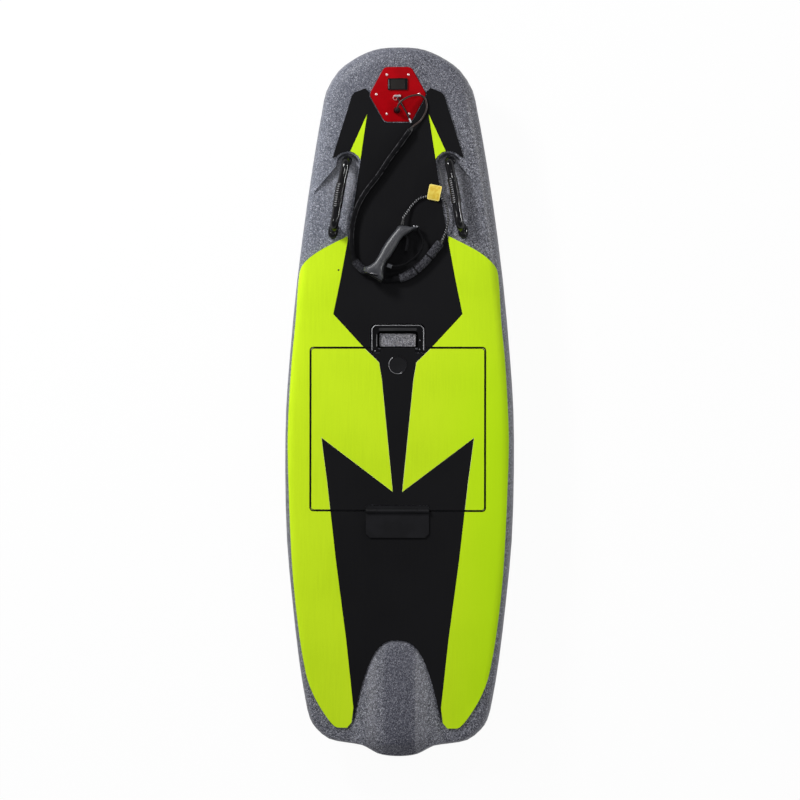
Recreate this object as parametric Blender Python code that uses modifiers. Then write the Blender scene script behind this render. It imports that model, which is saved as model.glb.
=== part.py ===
"""Electric jet surfboard with a wired hand controller, ready to ride, parked on a floor.

Metres. X points to starboard, Y to the bow and Z up. The origin is on the floor, under the middle
of the board. Shares of the half beam and of the length, counted from the bow, place what is on deck.
"""
import bpy
import bmesh
from math import atan2, cos, hypot, pi, radians, sin
from mathutils import Matrix, Quaternion, Vector

# Board
BOARD_LENGTH = 1.800
BOARD_BEAM = 0.584
DECK_HEIGHT = 0.165
DECK_SHEER = 0.026
DECK_SHEER_LENGTH = 0.460
NOSE_CROWN = 0.020
NOSE_LIFT = 0.088
BELLY_SETBACK = 0.591
TAIL_LIFT = 0.058
RAIL_TOP_INSET = 0.030
RAIL_BOTTOM_INSET = 0.062
NOSE_FADE_LENGTH = 0.300
STERN_FADE_LENGTH = 0.120
CORE_SETBACK = 0.250
NOSE_POWER = 2.2
TAIL_POWER = 1.2
RAIL_CREST_SHARE = 0.58
RAIL_NOSE_SHARE = 0.80
RAIL_STERN_SHARE = 0.80
RAIL_TOP_ROUNDNESS = 2.4
RAIL_BOTTOM_ROUNDNESS = 2.0
RAIL_TOP_STEPS = 6
RAIL_BOTTOM_STEPS = 4
DECK_COLUMNS = 4
BOTTOM_COLUMNS = 3
SIDE_STEPS = 2
SIDE_SHARES = (
    (0.000, 0.0000), (0.161, 0.0014), (0.283, 0.0070), (0.417, 0.0183), (0.530, 0.0324),
    (0.639, 0.0606), (0.678, 0.0888), (0.726, 0.1311), (0.809, 0.2156), (0.900, 0.3284),
    (0.965, 0.4412), (0.994, 0.5116), (1.000, 0.5962), (0.983, 0.6949), (0.935, 0.7794),
    (0.874, 0.8640), (0.817, 0.9204), (0.774, 0.9486), (0.717, 0.9626), (0.604, 0.9767),
    (0.452, 0.9817), (0.313, 0.9852), (0.243, 0.9908), (0.174, 0.9965), (0.087, 0.9993),
    (0.000, 1.0000),
)

# Fits shared by all pieces
SEAT_GAP = 0.0003
OVERRUN = 0.060

# Hood over the jet pump
HOOD_HEIGHT = 0.030
HOOD_HALF_WIDTH = 0.110
HOOD_REACH = 0.203
HOOD_SINK = 0.006
HOOD_END_FALL = 0.050
HOOD_RIM = 0.008
HOOD_WIDTH_POWER = 0.36
HOOD_HEIGHT_POWER = 0.60
HOOD_ROUNDNESS = 2.5
HOOD_APEX_SHARE = 0.8358
HOOD_ROWS = 14
HOOD_COLUMNS = 14

# Hand pockets, each cut down to one tilted floor plane
POCKET_DEPTH = 0.022
POCKET_ARCH_RADIUS = 0.0325
POCKET_DRAFT = 0.004
POCKET_FILLET = 0.004
POCKET_PITCH_SHARE = 0.079
POCKET_ROLL_SHARE = 0.087
POCKET_ARCH_STEPS = 10
POCKET_ARCH_SHARE = (0.445, 0.1670)
POCKET_INNER_SHARES = ((0.335, 0.1642), (0.450, 0.2655))
POCKET_AFT_SHARES = ((0.596, 0.2775), (0.704, 0.2873), (0.800, 0.2990), (0.860, 0.3110), (1.120, 0.3500))
POCKET_CREASE_SHARES = ((1.120, 0.2650), (0.800, 0.2128), (0.652, 0.1860), (0.556, 0.1680))

# Grip pads
PAD_THICKNESS = 0.0045
PAD_JOINT = 0.0008
PAD_EDGE_STEPS = 3
LIME_FORE_SHARES = (
    (0.439, 0.2664), (0.596, 0.2791), (0.704, 0.2889), (0.800, 0.3009), (0.852, 0.3115), (0.870, 0.3228),
    (0.896, 0.3848), (0.930, 0.4412), (0.952, 0.4975), (0.965, 0.5539), (0.957, 0.6103), (0.926, 0.7230),
    (0.896, 0.7794), (0.852, 0.8358), (0.822, 0.8640), (0.783, 0.8922), (0.709, 0.9204), (0.596, 0.9486),
    (0.548, 0.9570),
)
LIME_TOE_SHARES = ((0.520, 0.9591), (0.435, 0.9591), (0.396, 0.9514))
TAIL_EDGE_SHARES = ((0.380, 0.9309), (0.443, 0.8358), (0.535, 0.7230), (0.613, 0.6103), (0.648, 0.5680),
                    (0.661, 0.5511))
NECK_EDGE_SHARES = ((0.039, 0.6272), (0.135, 0.4693), (0.161, 0.4442), (0.297, 0.4227))
SPINE_EDGE_SHARES = ((0.561, 0.3763), (0.500, 0.3284), (0.435, 0.2720), (0.378, 0.2156), (0.326, 0.1593))
WEDGE_APEX_SHARE = (0.267, 0.0949)
WEDGE_TOE_SHARES = ((0.345, 0.1545), (0.385, 0.1490), (0.417, 0.1475))
LOBE_TOE_SHARES = ((0.445, 0.1472), (0.498, 0.1495), (0.545, 0.1550))
LOBE_EDGE_SHARES = ((0.572, 0.1564), (0.496, 0.1170), (0.439, 0.0888), (0.404, 0.0698), (0.380, 0.0648),
                    (0.283, 0.0589), (0.180, 0.0750))
TAIL_TOE_SHARES = ((0.383, 0.9528), (0.300, 0.9560))

# Hatch opening, lid, seal and battery tub
HATCH_WIDTH = 0.449
HATCH_LENGTH = 0.418
HATCH_MIDDLE_SHARE = 0.53833
HATCH_CORNER = 0.010
HATCH_GAP = 0.0035
LID_THICKNESS = 0.012
SEAL_THICKNESS = 0.002
SEAL_WIDTH = 0.008
FLANGE_THICKNESS = 0.0024
FLANGE_INSET = 0.0020
TUB_WIDTH = 0.410
TUB_LENGTH = 0.380
TUB_FLOOR_HEIGHT = 0.040
TUB_WALL = 0.003
TUB_CORNER = 0.020
CORNER_STEPS = 4

# Battery
BATTERY_WIDTH = 0.330
BATTERY_LENGTH = 0.270
BATTERY_HEIGHT = 0.086
BATTERY_AFT_CLEARANCE = 0.010
BATTERY_EDGE = 0.008
BATTERY_HANDLE_RISE = 0.014
BATTERY_HANDLE_SPAN = 0.120
BATTERY_HANDLE_RADIUS = 0.004

# Hinge
HINGE_BARREL_RADIUS = 0.005
HINGE_BORE_RADIUS = 0.0023
HINGE_PIN_RADIUS = 0.0020
HINGE_PLATE_WIDTH = 0.160
HINGE_PLATE_LENGTH = 0.066
HINGE_PLATE_THICKNESS = 0.0035
HINGE_PLATE_CORNER = 0.010
HINGE_KNUCKLE_LENGTH = 0.028
HINGE_KNUCKLE_PLAY = 0.0006
HINGE_LEAF_LENGTH = 0.012
HINGE_LEAF_THICKNESS = 0.0030
HINGE_NOTCH_PLAY = 0.0010

# Latch
LATCH_WIDTH = 0.133
LATCH_LENGTH = 0.069
LATCH_BAND = 0.0155
LATCH_THICKNESS = 0.007
LATCH_CORNER = 0.016
LATCH_SINK = 0.003
LATCH_PLAY = 0.0035
LATCH_PIVOT_SETBACK = 0.007
LATCH_SIDE_PLAY = 0.0015
LATCH_LEG_END = 0.0035
LATCH_LUG_WIDTH = 0.006
LATCH_LUG_PLAY = 0.0005
LATCH_PIN_RADIUS = 0.0016
LATCH_BORE_RADIUS = 0.0019
LATCH_PIN_LENGTH = 0.008
LATCH_NOTCH_DEPTH = 0.005
LATCH_RECESS_DEPTH = 0.016
CATCH_WIDTH = 0.080
CATCH_LENGTH = 0.010

# Vent plug in the lid
PLUG_RADIUS = 0.0235
PLUG_RIM = 0.0025
PLUG_DISH = 0.0012
PLUG_PROUD = 0.0005
PLUG_TO_FRONT = 0.0427
ROUND_STEPS = 32

# Display panel, in its own tilted frame
PANEL_SETBACK = 0.1218
PANEL_HALF_WIDTH = 0.0725
PANEL_HALF_LENGTH = 0.0690
PANEL_TOP_EDGE = 0.0680
PANEL_CORNER = 0.015
PANEL_THICKNESS = 0.007
PANEL_SINK = 0.004
PANEL_BEVEL = 0.0015
PANEL_MARGIN = 0.0025
BEZEL_WIDTH = 0.0505
BEZEL_LENGTH = 0.0295
BEZEL_THICKNESS = 0.0030
BEZEL_FORWARD = 0.0260
BEZEL_CORNER = 0.0030
WINDOW_WIDTH = 0.0360
WINDOW_LENGTH = 0.0240
WINDOW_SINK = 0.0012
KEY_SOCKET_RADIUS = 0.0085
KEY_SOCKET_HEIGHT = 0.0045
KEY_SOCKET_AFT = 0.0040
KEY_CLIP_WIDTH = 0.0170
KEY_CLIP_LENGTH = 0.0055
KEY_CLIP_HEIGHT = 0.0030
GLAND_RADIUS = 0.0085
GLAND_HEIGHT = 0.0140
GLAND_AFT = 0.0400
GLAND_SIDE = 0.0020

# Grab handles, each in the frame of its pocket floor
HANDLE_RADIUS = 0.0110
HANDLE_HEIGHT = 0.040
HANDLE_BOSS_RADIUS = 0.0125
HANDLE_BOSS_HEIGHT = 0.010
HANDLE_BEND = 0.030
HANDLE_FORE_SHARE = (0.455, 0.1612)
HANDLE_MIDDLE_SHARE = (0.513, 0.2070)
HANDLE_AFT_SHARE = (0.562, 0.2560)

# Jet drive
PUMP_AXIS_HEIGHT = 0.104
HOUSING_RADIUS = 0.042
HOUSING_WALL = 0.004
HOUSING_LENGTH = 0.195
STATOR_LENGTH = 0.050
STATOR_HUB_RADIUS = 0.015
STATOR_VANES = 5
STATOR_TAIL_INSET = 0.002
STATOR_TAIL_SHARE = 0.40
VANE_LENGTH_SHARE = 0.80
VANE_THICKNESS = 0.0025
VANE_TWIST = radians(18)
NOZZLE_LENGTH = 0.0347
NOZZLE_TO_STERN = 0.010
NOZZLE_WALL = 0.003
NOZZLE_STRAIGHT_SHARE = 0.25
NOZZLE_MOUTH_RADIUS = 0.030
IMPELLER_CLEARANCE = 0.005
IMPELLER_LENGTH = 0.050
IMPELLER_HUB_RADIUS = 0.013
IMPELLER_BLADES = 3
IMPELLER_TURN = radians(110)
BLADE_THICKNESS = 0.0025
BLADE_STEPS = 9
IMPELLER_TO_STATOR = 0.005
SHAFT_RADIUS = 0.006
SHAFT_CLEARANCE = 0.002
MOTOR_RADIUS = 0.040
MOTOR_LENGTH = 0.150
MOTOR_EDGE = 0.004
MOTOR_PROUD = 0.010
INTAKE_TO_PUMP = 0.015
INTAKE_LENGTH = 0.170
INTAKE_WIDTH = 0.094
INTAKE_CORNER = 0.020
INTAKE_ROWS = 8
GRATE_FRAME = 0.010
GRATE_DEPTH = 0.008
GRATE_BARS = 5
GRATE_BAR_WIDTH = 0.004

# Fins
FIN_TO_STERN = 0.200
FIN_SPREAD = 0.150
FIN_CHORD = 0.115
FIN_TIP_SHARE = 0.55
FIN_RAKE = 0.030
FIN_THICKNESS = 0.010
FIN_TAB_DEPTH = 0.010
FIN_TAB_LENGTH = 0.090
FIN_TAB_WIDTH = 0.006
FIN_ROWS = 5
FIN_FOIL_STEPS = 8

# Hand controller: edges of its sections and paths as shares of its length, from the foot to the head
HANDSET_BASE_SHARE = (-0.211, 0.3214)
HANDSET_TOP_SHARE = (0.067, 0.2537)
HANDSET_THICKNESS = 0.034
HANDSET_RING_STEPS = 16
HANDSET_HEAD_DROP = 0.0012
HANDSET_SECTION_SHARES = (
    (-0.047, 0.163, -0.010, -0.190, 0.72), (0.009, 0.194, 0.041, -0.192, 0.95),
    (0.090, 0.130, 0.136, -0.122, 0.95), (0.173, 0.097, 0.215, -0.085, 0.92),
    (0.301, 0.095, 0.321, -0.068, 0.95), (0.450, 0.118, 0.432, -0.082, 1.00),
    (0.571, 0.124, 0.539, -0.074, 1.00), (0.680, 0.119, 0.640, -0.071, 0.98),
    (0.769, 0.112, 0.746, -0.061, 0.98), (0.862, 0.104, 0.841, -0.073, 1.00),
    (0.925, 0.110, 0.931, -0.114, 1.00), (0.966, 0.075, 0.993, -0.136, 0.90),
    (1.002, -0.004, 1.031, -0.149, 0.75), (1.041, -0.090, 1.068, -0.173, 0.55),
    (1.121, -0.163, 1.122, -0.212, 0.36),
)
TRIGGER_RADIUS = 0.0038
TRIGGER_SHARES = ((0.8690, -0.0905), (0.847, -0.139), (0.796, -0.184), (0.721, -0.224), (0.653, -0.252))
GUARD_RADIUS = 0.0030
GUARD_SHARES = (
    (1.0940, -0.1960), (1.062, -0.239), (1.020, -0.320), (0.939, -0.408), (0.789, -0.456), (0.585, -0.425),
    (0.408, -0.335), (0.305, -0.215), (0.289, -0.136), (0.2800, -0.0790),
)
GUARD_BLOCK_SHARE = 0.5

# Control cable, a route chosen by hand over the deck: lead, sleeve, tail and tag
LEAD_RADIUS = 0.0025
SLEEVE_RADIUS = 0.0080
TAIL_RADIUS = 0.0030
LANYARD_RADIUS = 0.0020
TAG_WIDTH = 0.032
TAG_LENGTH = 0.039
TAG_THICKNESS = 0.0010
TAG_TURN = radians(-11)
LEAD_ROUTE = (
    (-0.0020, 0.7369, 0.1934), (-0.0015, 0.7369, 0.1990), (0.0040, 0.7500, 0.2058), (0.0125, 0.7600, 0.2066),
    (0.0259, 0.7685, 0.2028), (0.0436, 0.7744, 0.1957), (0.0589, 0.7744, 0.1897), (0.0700, 0.7655, 0.1856),
    (0.0738, 0.7477, 0.1843), (0.0690, 0.7290, 0.1830), (0.0575, 0.7110, 0.1820), (0.0395, 0.6966, 0.1867),
    (0.0327, 0.6872, 0.1862),
)
SLEEVE_ROUTE = (
    (0.0325, 0.6869, 0.1862), (0.0020, 0.6450, 0.1840), (-0.0233, 0.6108, 0.1824), (-0.0487, 0.5727, 0.1809),
    (-0.0766, 0.5372, 0.1799), (-0.0969, 0.5042, 0.1793), (-0.1109, 0.4662, 0.1789), (-0.1159, 0.4307, 0.1788),
    (-0.1159, 0.3951, 0.1788), (-0.1096, 0.3596, 0.1788), (-0.0893, 0.3355, 0.1788), (-0.0614, 0.3190, 0.1788),
    (-0.0310, 0.3101, 0.1788), (-0.0030, 0.3114, 0.1788), (0.0249, 0.3203, 0.1788), (0.0528, 0.3393, 0.1788),
    (0.0781, 0.3647, 0.1788), (0.0984, 0.3901, 0.1788), (0.1086, 0.4027, 0.1788),
)
TAIL_ROUTE = (
    (0.1088, 0.4031, 0.1788), (0.1123, 0.4074, 0.1788), (0.1263, 0.4484, 0.1741), (0.1263, 0.4789, 0.1743),
    (0.1213, 0.4992, 0.1745), (0.1111, 0.5156, 0.1747), (0.0908, 0.5245, 0.1749), (0.0705, 0.5195, 0.1748),
    (0.0528, 0.5131, 0.1747), (0.0350, 0.4966, 0.1745), (0.0245, 0.4810, 0.1790), (0.0148, 0.4655, 0.1844),
    (0.0136, 0.4572, 0.1863), (0.0120, 0.4474, 0.1873),
)
LANYARD_ROUTE = (
    (0.0000, 0.7680, 0.1900), (0.0040, 0.7615, 0.1880), (0.0157, 0.7427, 0.1824), (0.0259, 0.7237, 0.1810),
    (0.0335, 0.7059, 0.1809),
)
TAG_SPOT = (0.0929, 0.5296, 0.1793)

# Colours, roughness and metallic of each finish
FINISHES = {
    "fleck_grey": ((0.200, 0.205, 0.235), 0.62, 0.0),
    "pad_black": ((0.010, 0.010, 0.012), 0.85, 0.0),
    "pad_lime": ((0.560, 0.820, 0.020), 0.70, 0.0),
    "panel_red": ((0.620, 0.008, 0.020), 0.35, 0.0),
    "gloss_black": ((0.006, 0.006, 0.007), 0.25, 0.0),
    "matte_black": ((0.015, 0.015, 0.017), 0.55, 0.0),
    "window": ((0.020, 0.022, 0.025), 0.10, 0.0),
    "steel": ((0.620, 0.620, 0.640), 0.28, 1.0),
    "alloy": ((0.520, 0.530, 0.550), 0.40, 1.0),
    "rubber": ((0.012, 0.012, 0.012), 0.90, 0.0),
    "tag_yellow": ((0.900, 0.560, 0.020), 0.50, 0.0),
    "tub_grey": ((0.060, 0.062, 0.068), 0.60, 0.0),
}

BOW_Y = BOARD_LENGTH / 2
HALF_BEAM = BOARD_BEAM / 2
PAD_TOP = DECK_HEIGHT + SEAT_GAP + PAD_THICKNESS
HATCH_Y = BOW_Y - HATCH_MIDDLE_SHARE * BOARD_LENGTH
LID_WIDTH = HATCH_WIDTH - 2 * HATCH_GAP
LID_LENGTH = HATCH_LENGTH - 2 * HATCH_GAP
LID_FRONT_Y = HATCH_Y + LID_LENGTH / 2
LID_AFT_Y = HATCH_Y - LID_LENGTH / 2
SEAL_TOP = DECK_HEIGHT - LID_THICKNESS - SEAT_GAP
FLANGE_TOP = SEAL_TOP - SEAL_THICKNESS - SEAT_GAP
LEDGE_HEIGHT = FLANGE_TOP - FLANGE_THICKNESS - SEAT_GAP
HINGE_Y = LID_AFT_Y - HATCH_GAP / 2
HINGE_Z = PAD_TOP + SEAT_GAP + HINGE_BARREL_RADIUS
LATCH_Y = LID_FRONT_Y - LATCH_PIVOT_SETBACK
LATCH_Z = DECK_HEIGHT - LATCH_SINK + LATCH_THICKNESS / 2
NOZZLE_END_Y = NOZZLE_TO_STERN - BOW_Y
HOUSING_AFT_Y = NOZZLE_END_Y + NOZZLE_LENGTH + SEAT_GAP
HOUSING_FORE_Y = HOUSING_AFT_Y + HOUSING_LENGTH
INTAKE_Y = HOUSING_FORE_Y + INTAKE_TO_PUMP + INTAKE_LENGTH / 2
STATOR_FORE_Y = HOUSING_AFT_Y + STATOR_LENGTH
IMPELLER_AFT_Y = STATOR_FORE_Y + IMPELLER_TO_STATOR
IMPELLER_RADIUS = HOUSING_RADIUS - HOUSING_WALL - IMPELLER_CLEARANCE
TUB_AFT_Y = HATCH_Y - TUB_LENGTH / 2
MOTOR_FORE_Y = TUB_AFT_Y - SEAT_GAP + MOTOR_PROUD
MOTOR_AFT_Y = MOTOR_FORE_Y - MOTOR_LENGTH


def across(share):
    return share * HALF_BEAM


def along(share):
    return BOW_Y - share * BOARD_LENGTH


def spot(share_pair):
    return Vector((across(share_pair[0]), along(share_pair[1])))


def clamp(value, low, high):
    return max(low, min(high, value))


def deck_z(x, y):
    """Height of the bare deck: level amidships, rising to the bow and crowned there."""
    forward = max(0.0, y - BOW_Y + DECK_SHEER_LENGTH) / DECK_SHEER_LENGTH
    return DECK_HEIGHT + forward ** 2 * (DECK_SHEER - NOSE_CROWN * (x / HALF_BEAM) ** 2)


def bottom_z(y):
    """Height of the bottom: it touches the floor at the belly and rises to the bow and the stern."""
    setback = BOW_Y - y
    if setback < BELLY_SETBACK:
        return NOSE_LIFT * (1 - setback / BELLY_SETBACK) ** NOSE_POWER
    return TAIL_LIFT * ((setback - BELLY_SETBACK) / (BOARD_LENGTH - BELLY_SETBACK)) ** TAIL_POWER


def smooth_path(points, steps, cyclic=False, start=None, end=None):
    """Points of a centripetal spline through the given points, with the given steps a stretch."""
    points = [Vector(p) for p in points]
    if cyclic:
        framed = [points[-1]] + points + [points[0], points[1]]
    else:
        first = Vector(start) if start else 2 * points[0] - points[1]
        last = Vector(end) if end else 2 * points[-1] - points[-2]
        framed = [first] + points + [last]
    path = []
    for p0, p1, p2, p3 in zip(framed, framed[1:], framed[2:], framed[3:]):
        t1 = (p1 - p0).length ** 0.5
        t2 = t1 + (p2 - p1).length ** 0.5
        t3 = t2 + (p3 - p2).length ** 0.5
        for step in range(steps):
            t = t1 + (t2 - t1) * step / steps
            a1 = p0.lerp(p1, t / t1)
            a2 = p1.lerp(p2, (t - t1) / (t2 - t1))
            a3 = p2.lerp(p3, (t - t2) / (t3 - t2))
            b1 = a1.lerp(a2, t / t2)
            b2 = a2.lerp(a3, (t - t1) / (t3 - t1))
            path.append(b1.lerp(b2, (t - t1) / (t2 - t1)))
    if not cyclic:
        path.append(points[-1])
    return path


def side_path():
    """The board's outline in plan on the starboard side, from the bow to the stern."""
    points = [spot(pair) for pair in SIDE_SHARES]
    ghosts = [Vector((-points[1].x, points[1].y)), Vector((-points[-2].x, points[-2].y))]
    return smooth_path(points, SIDE_STEPS, start=ghosts[0], end=ghosts[1])


def inward(point, inset):
    """A point of the outline moved in towards the board's core line."""
    core = Vector((0.0, clamp(point.y, CORE_SETBACK - BOW_Y, BOW_Y - CORE_SETBACK)))
    return point + (core - point).normalized() * inset


def rail_gain(y):
    """How much softer the rail is near the bow than amidships, and how much harder at the stern."""
    nose = clamp((y - BOW_Y + NOSE_FADE_LENGTH) / NOSE_FADE_LENGTH, 0.0, 1.0)
    stern = clamp((STERN_FADE_LENGTH - BOW_Y - y) / STERN_FADE_LENGTH, 0.0, 1.0)
    return 1 + RAIL_NOSE_SHARE * nose - RAIL_STERN_SHARE * stern


def crest_z(x, y):
    low = bottom_z(y)
    return low + RAIL_CREST_SHARE * (deck_z(x, y) - low)


def top_chain(point, first_step):
    """Upper half section at one point of the outline, from the rail to the deck's centre line."""
    inset = RAIL_TOP_INSET * rail_gain(point.y)
    power = 2 / RAIL_TOP_ROUNDNESS
    chain = []
    for step in range(first_step, RAIL_TOP_STEPS + 1):
        angle = pi / 2 * step / RAIL_TOP_STEPS
        p = inward(point, inset * (1 - max(cos(angle), 0.0) ** power))
        crest = crest_z(p.x, p.y)
        chain.append(Vector((p.x, p.y, crest + (deck_z(p.x, p.y) - crest) * sin(angle) ** power)))
    edge = chain[-1]
    for column in range(DECK_COLUMNS - 1, -1, -1):
        x = edge.x * column / DECK_COLUMNS
        chain.append(Vector((x, edge.y, deck_z(x, edge.y))))
    return chain


def bottom_chain(point):
    """Lower half section at one point of the outline, from the keel to just below the rail's crest."""
    power = 2 / RAIL_BOTTOM_ROUNDNESS
    chain = []
    for step in range(1, RAIL_BOTTOM_STEPS + 1):
        angle = pi / 2 * step / RAIL_BOTTOM_STEPS
        stern = min(rail_gain(point.y), 1.0)
        p = inward(point, RAIL_BOTTOM_INSET * stern * (1 - max(cos(angle), 0.0) ** power))
        crest = crest_z(p.x, p.y)
        chain.append(Vector((p.x, p.y, crest - (crest - bottom_z(p.y)) * sin(angle) ** power)))
    edge = chain[-1]
    for column in range(BOTTOM_COLUMNS - 1, -1, -1):
        chain.append(Vector((edge.x * column / BOTTOM_COLUMNS, edge.y, edge.z)))
    return chain[::-1]


def material(name, finish):
    color, roughness, metallic = FINISHES[finish]
    made = bpy.data.materials.new(name)
    made.use_nodes = True
    shader = made.node_tree.nodes["Principled BSDF"]
    shader.inputs["Base Color"].default_value = (*color, 1.0)
    shader.inputs["Roughness"].default_value = roughness
    shader.inputs["Metallic"].default_value = metallic
    made.diffuse_color = (*color, 1.0)
    return made


def collection(name):
    made = bpy.data.collections.new(name)
    bpy.context.scene.collection.children.link(made)
    return made


def pivot(name, location, rotation=None, parent=None):
    """An empty that carries pieces, on a joint's axis or in a tilted frame."""
    empty = bpy.data.objects.new(name, None)
    empty.empty_display_size = SLEEVE_RADIUS
    empty.rotation_mode = "QUATERNION"
    empty.location = location
    empty.rotation_quaternion = rotation or Quaternion()
    empty.parent = parent
    PARTS.objects.link(empty)
    return empty


def frame_of(empty):
    return Matrix.Translation(empty.location) @ empty.rotation_quaternion.to_matrix().to_4x4()


def place(made, finish=None, carrier=None, local=False):
    """Puts an object among the parts, or with no finish among the cutters."""
    if finish:
        PARTS.objects.link(made)
        made.data.materials.clear()
        made.data.materials.append(material(made.name, finish))
        if made.type == "MESH":
            made.data.shade_smooth()
            made.data.set_sharp_from_angle(angle=radians(35))
    else:
        CUTTERS.objects.link(made)
        made.hide_render = True
        made.display_type = "WIRE"
    if carrier:
        made.parent = carrier
        if not local:
            made.matrix_parent_inverse = frame_of(carrier).inverted()
    return made


def mesh_object(name, bm, clean=True):
    if clean:
        bmesh.ops.remove_doubles(bm, verts=bm.verts, dist=1e-6)
        bmesh.ops.dissolve_degenerate(bm, edges=bm.edges, dist=1e-7)
    bmesh.ops.recalc_face_normals(bm, faces=bm.faces)
    mesh = bpy.data.meshes.new(name)
    bm.to_mesh(mesh)
    bm.free()
    return bpy.data.objects.new(name, mesh)


def loft(name, rows, closed_rows=True, caps=True):
    """Skins a list of rows of points. Closed rows join their ends, and caps close the first and last."""
    bm = bmesh.new()
    made = [[bm.verts.new(p) for p in row] for row in rows]
    count = len(rows[0])
    reach = count if closed_rows else count - 1
    for low, high in zip(made, made[1:]):
        for i in range(reach):
            j = (i + 1) % count
            bm.faces.new((low[i], low[j], high[j], high[i]))
    if caps:
        bm.faces.new(made[0][::-1])
        bm.faces.new(made[-1])
    return mesh_object(name, bm)


def prism(name, outline, low, high, low_offset=0.0):
    """A straight prism over an outline in plan, or a drafted one with its low outline offset."""
    base = offset_outline(outline, low_offset) if low_offset else outline
    return loft(name, [[Vector((p.x, p.y, low)) for p in base], [Vector((p.x, p.y, high)) for p in outline]])


def box(name, size, center):
    bm = bmesh.new()
    bmesh.ops.create_cube(bm, size=1.0)
    bmesh.ops.scale(bm, vec=size, verts=bm.verts)
    bmesh.ops.translate(bm, vec=center, verts=bm.verts)
    return mesh_object(name, bm, clean=False)


def cylinder(name, radius, length, center, axis="Z", steps=ROUND_STEPS):
    turn = {"X": Matrix.Rotation(pi / 2, 4, "Y"), "Y": Matrix.Rotation(pi / 2, 4, "X"), "Z": Matrix()}[axis]
    bm = bmesh.new()
    bmesh.ops.create_cone(bm, cap_ends=True, segments=steps, radius1=radius, radius2=radius, depth=length,
                          matrix=Matrix.Translation(center) @ turn)
    return mesh_object(name, bm, clean=False)


def turned(name, profile, steps=ROUND_STEPS):
    """A closed solid turned about Z by a Screw modifier. The profile runs down the outer side first."""
    bm = bmesh.new()
    verts = [bm.verts.new((x, 0.0, z)) for x, z in profile]
    closed = all(x > 0 for x, z in profile)
    for a, b in zip(verts, verts[1:] + (verts[:1] if closed else [])):
        bm.edges.new((a, b))
    mesh = bpy.data.meshes.new(name)
    bm.to_mesh(mesh)
    bm.free()
    made = bpy.data.objects.new(name, mesh)
    screw = made.modifiers.new("turn", "SCREW")
    screw.steps = screw.render_steps = steps
    screw.use_merge_vertices = True
    screw.merge_threshold = 1e-5
    return made


def tube(name, points, radius, sides=3, cyclic=False, swell=None):
    """A round bar along a list of points, with its ends closed."""
    curve = bpy.data.curves.new(name, "CURVE")
    curve.dimensions = "3D"
    curve.bevel_depth = radius
    curve.bevel_resolution = sides
    curve.use_fill_caps = True
    spline = curve.splines.new("POLY")
    spline.points.add(len(points) - 1)
    for i, (slot, p) in enumerate(zip(spline.points, points)):
        slot.co = (*p, 1.0)
        slot.radius = swell[i] if swell else 1.0
    spline.use_cyclic_u = cyclic
    return bpy.data.objects.new(name, curve)


def as_mesh(source):
    """Turns a curve object, or one with modifiers, into a plain welded mesh object."""
    name = source.name
    bpy.context.scene.collection.objects.link(source)
    view = bpy.context.evaluated_depsgraph_get()
    evaluated = source.evaluated_get(view)
    bm = bmesh.new()
    bm.from_mesh(bpy.data.meshes.new_from_object(evaluated))
    bpy.data.objects.remove(source)
    bmesh.ops.remove_doubles(bm, verts=bm.verts, dist=1e-6)
    return mesh_object(name, bm)


def cut(target, tool, operation="DIFFERENCE"):
    modifier = target.modifiers.new(operation.lower() + "_" + tool.name, "BOOLEAN")
    modifier.operation = operation
    modifier.solver = "EXACT"
    modifier.object = tool
    return target


def bevel(target, width, segments=2, angle=radians(40)):
    modifier = target.modifiers.new("edges", "BEVEL")
    modifier.width = width
    modifier.segments = segments
    modifier.limit_method = "ANGLE"
    modifier.angle_limit = angle
    return target


def signed_area(outline):
    return sum(a.x * b.y - b.x * a.y for a, b in zip(outline, outline[1:] + outline[:1])) / 2


def offset_outline(outline, distance):
    """The outline moved out by a distance, or in by a negative one, with mitred corners."""
    turn = 1.0 if signed_area(outline) > 0 else -1.0
    moved = []
    for before, here, after in zip(outline[-1:] + outline[:-1], outline, outline[1:] + outline[:1]):
        first = (here - before).normalized()
        second = (after - here).normalized()
        normal_one = Vector((first.y, -first.x)) * turn
        normal_two = Vector((second.y, -second.x)) * turn
        middle = (normal_one + normal_two).normalized()
        moved.append(here + middle * distance / max(middle.dot(normal_one), 0.35))
    return moved


def rounded_rectangle(width, length, radius, center=Vector((0.0, 0.0)), steps=CORNER_STEPS):
    points = []
    for quarter, (sx, sy) in enumerate(((1, 1), (-1, 1), (-1, -1), (1, -1))):
        middle = Vector((sx * (width / 2 - radius), sy * (length / 2 - radius)))
        for step in range(steps + 1):
            angle = pi / 2 * (quarter + step / steps)
            points.append(center + middle + radius * Vector((cos(angle), sin(angle))))
    return points


def rounded_corners(outline, radius, steps=CORNER_STEPS):
    """The outline with each corner replaced by an arc."""
    points = []
    for before, here, after in zip(outline[-1:] + outline[:-1], outline, outline[1:] + outline[:1]):
        back = (before - here).normalized()
        ahead = (after - here).normalized()
        half = back.angle(ahead) / 2
        bisector = (back + ahead).normalized()
        middle = here + bisector * radius / sin(half)
        start = here + back * radius * cos(half) / sin(half)
        end = here + ahead * radius * cos(half) / sin(half)
        first = atan2(*(start - middle).yx)
        sweep = (atan2(*(end - middle).yx) - first + pi) % (2 * pi) - pi
        for step in range(steps + 1):
            angle = first + sweep * step / steps
            points.append(middle + radius * Vector((cos(angle), sin(angle))))
    return points


def mirrored(half):
    """A full outline from its starboard half, which starts and ends near the centre line."""
    return half + [Vector((-p.x, p.y)) for p in reversed(half) if abs(p.x) > 1e-6]


def flipped(outline):
    return [Vector((-p.x, p.y)) for p in reversed(outline)]


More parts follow.
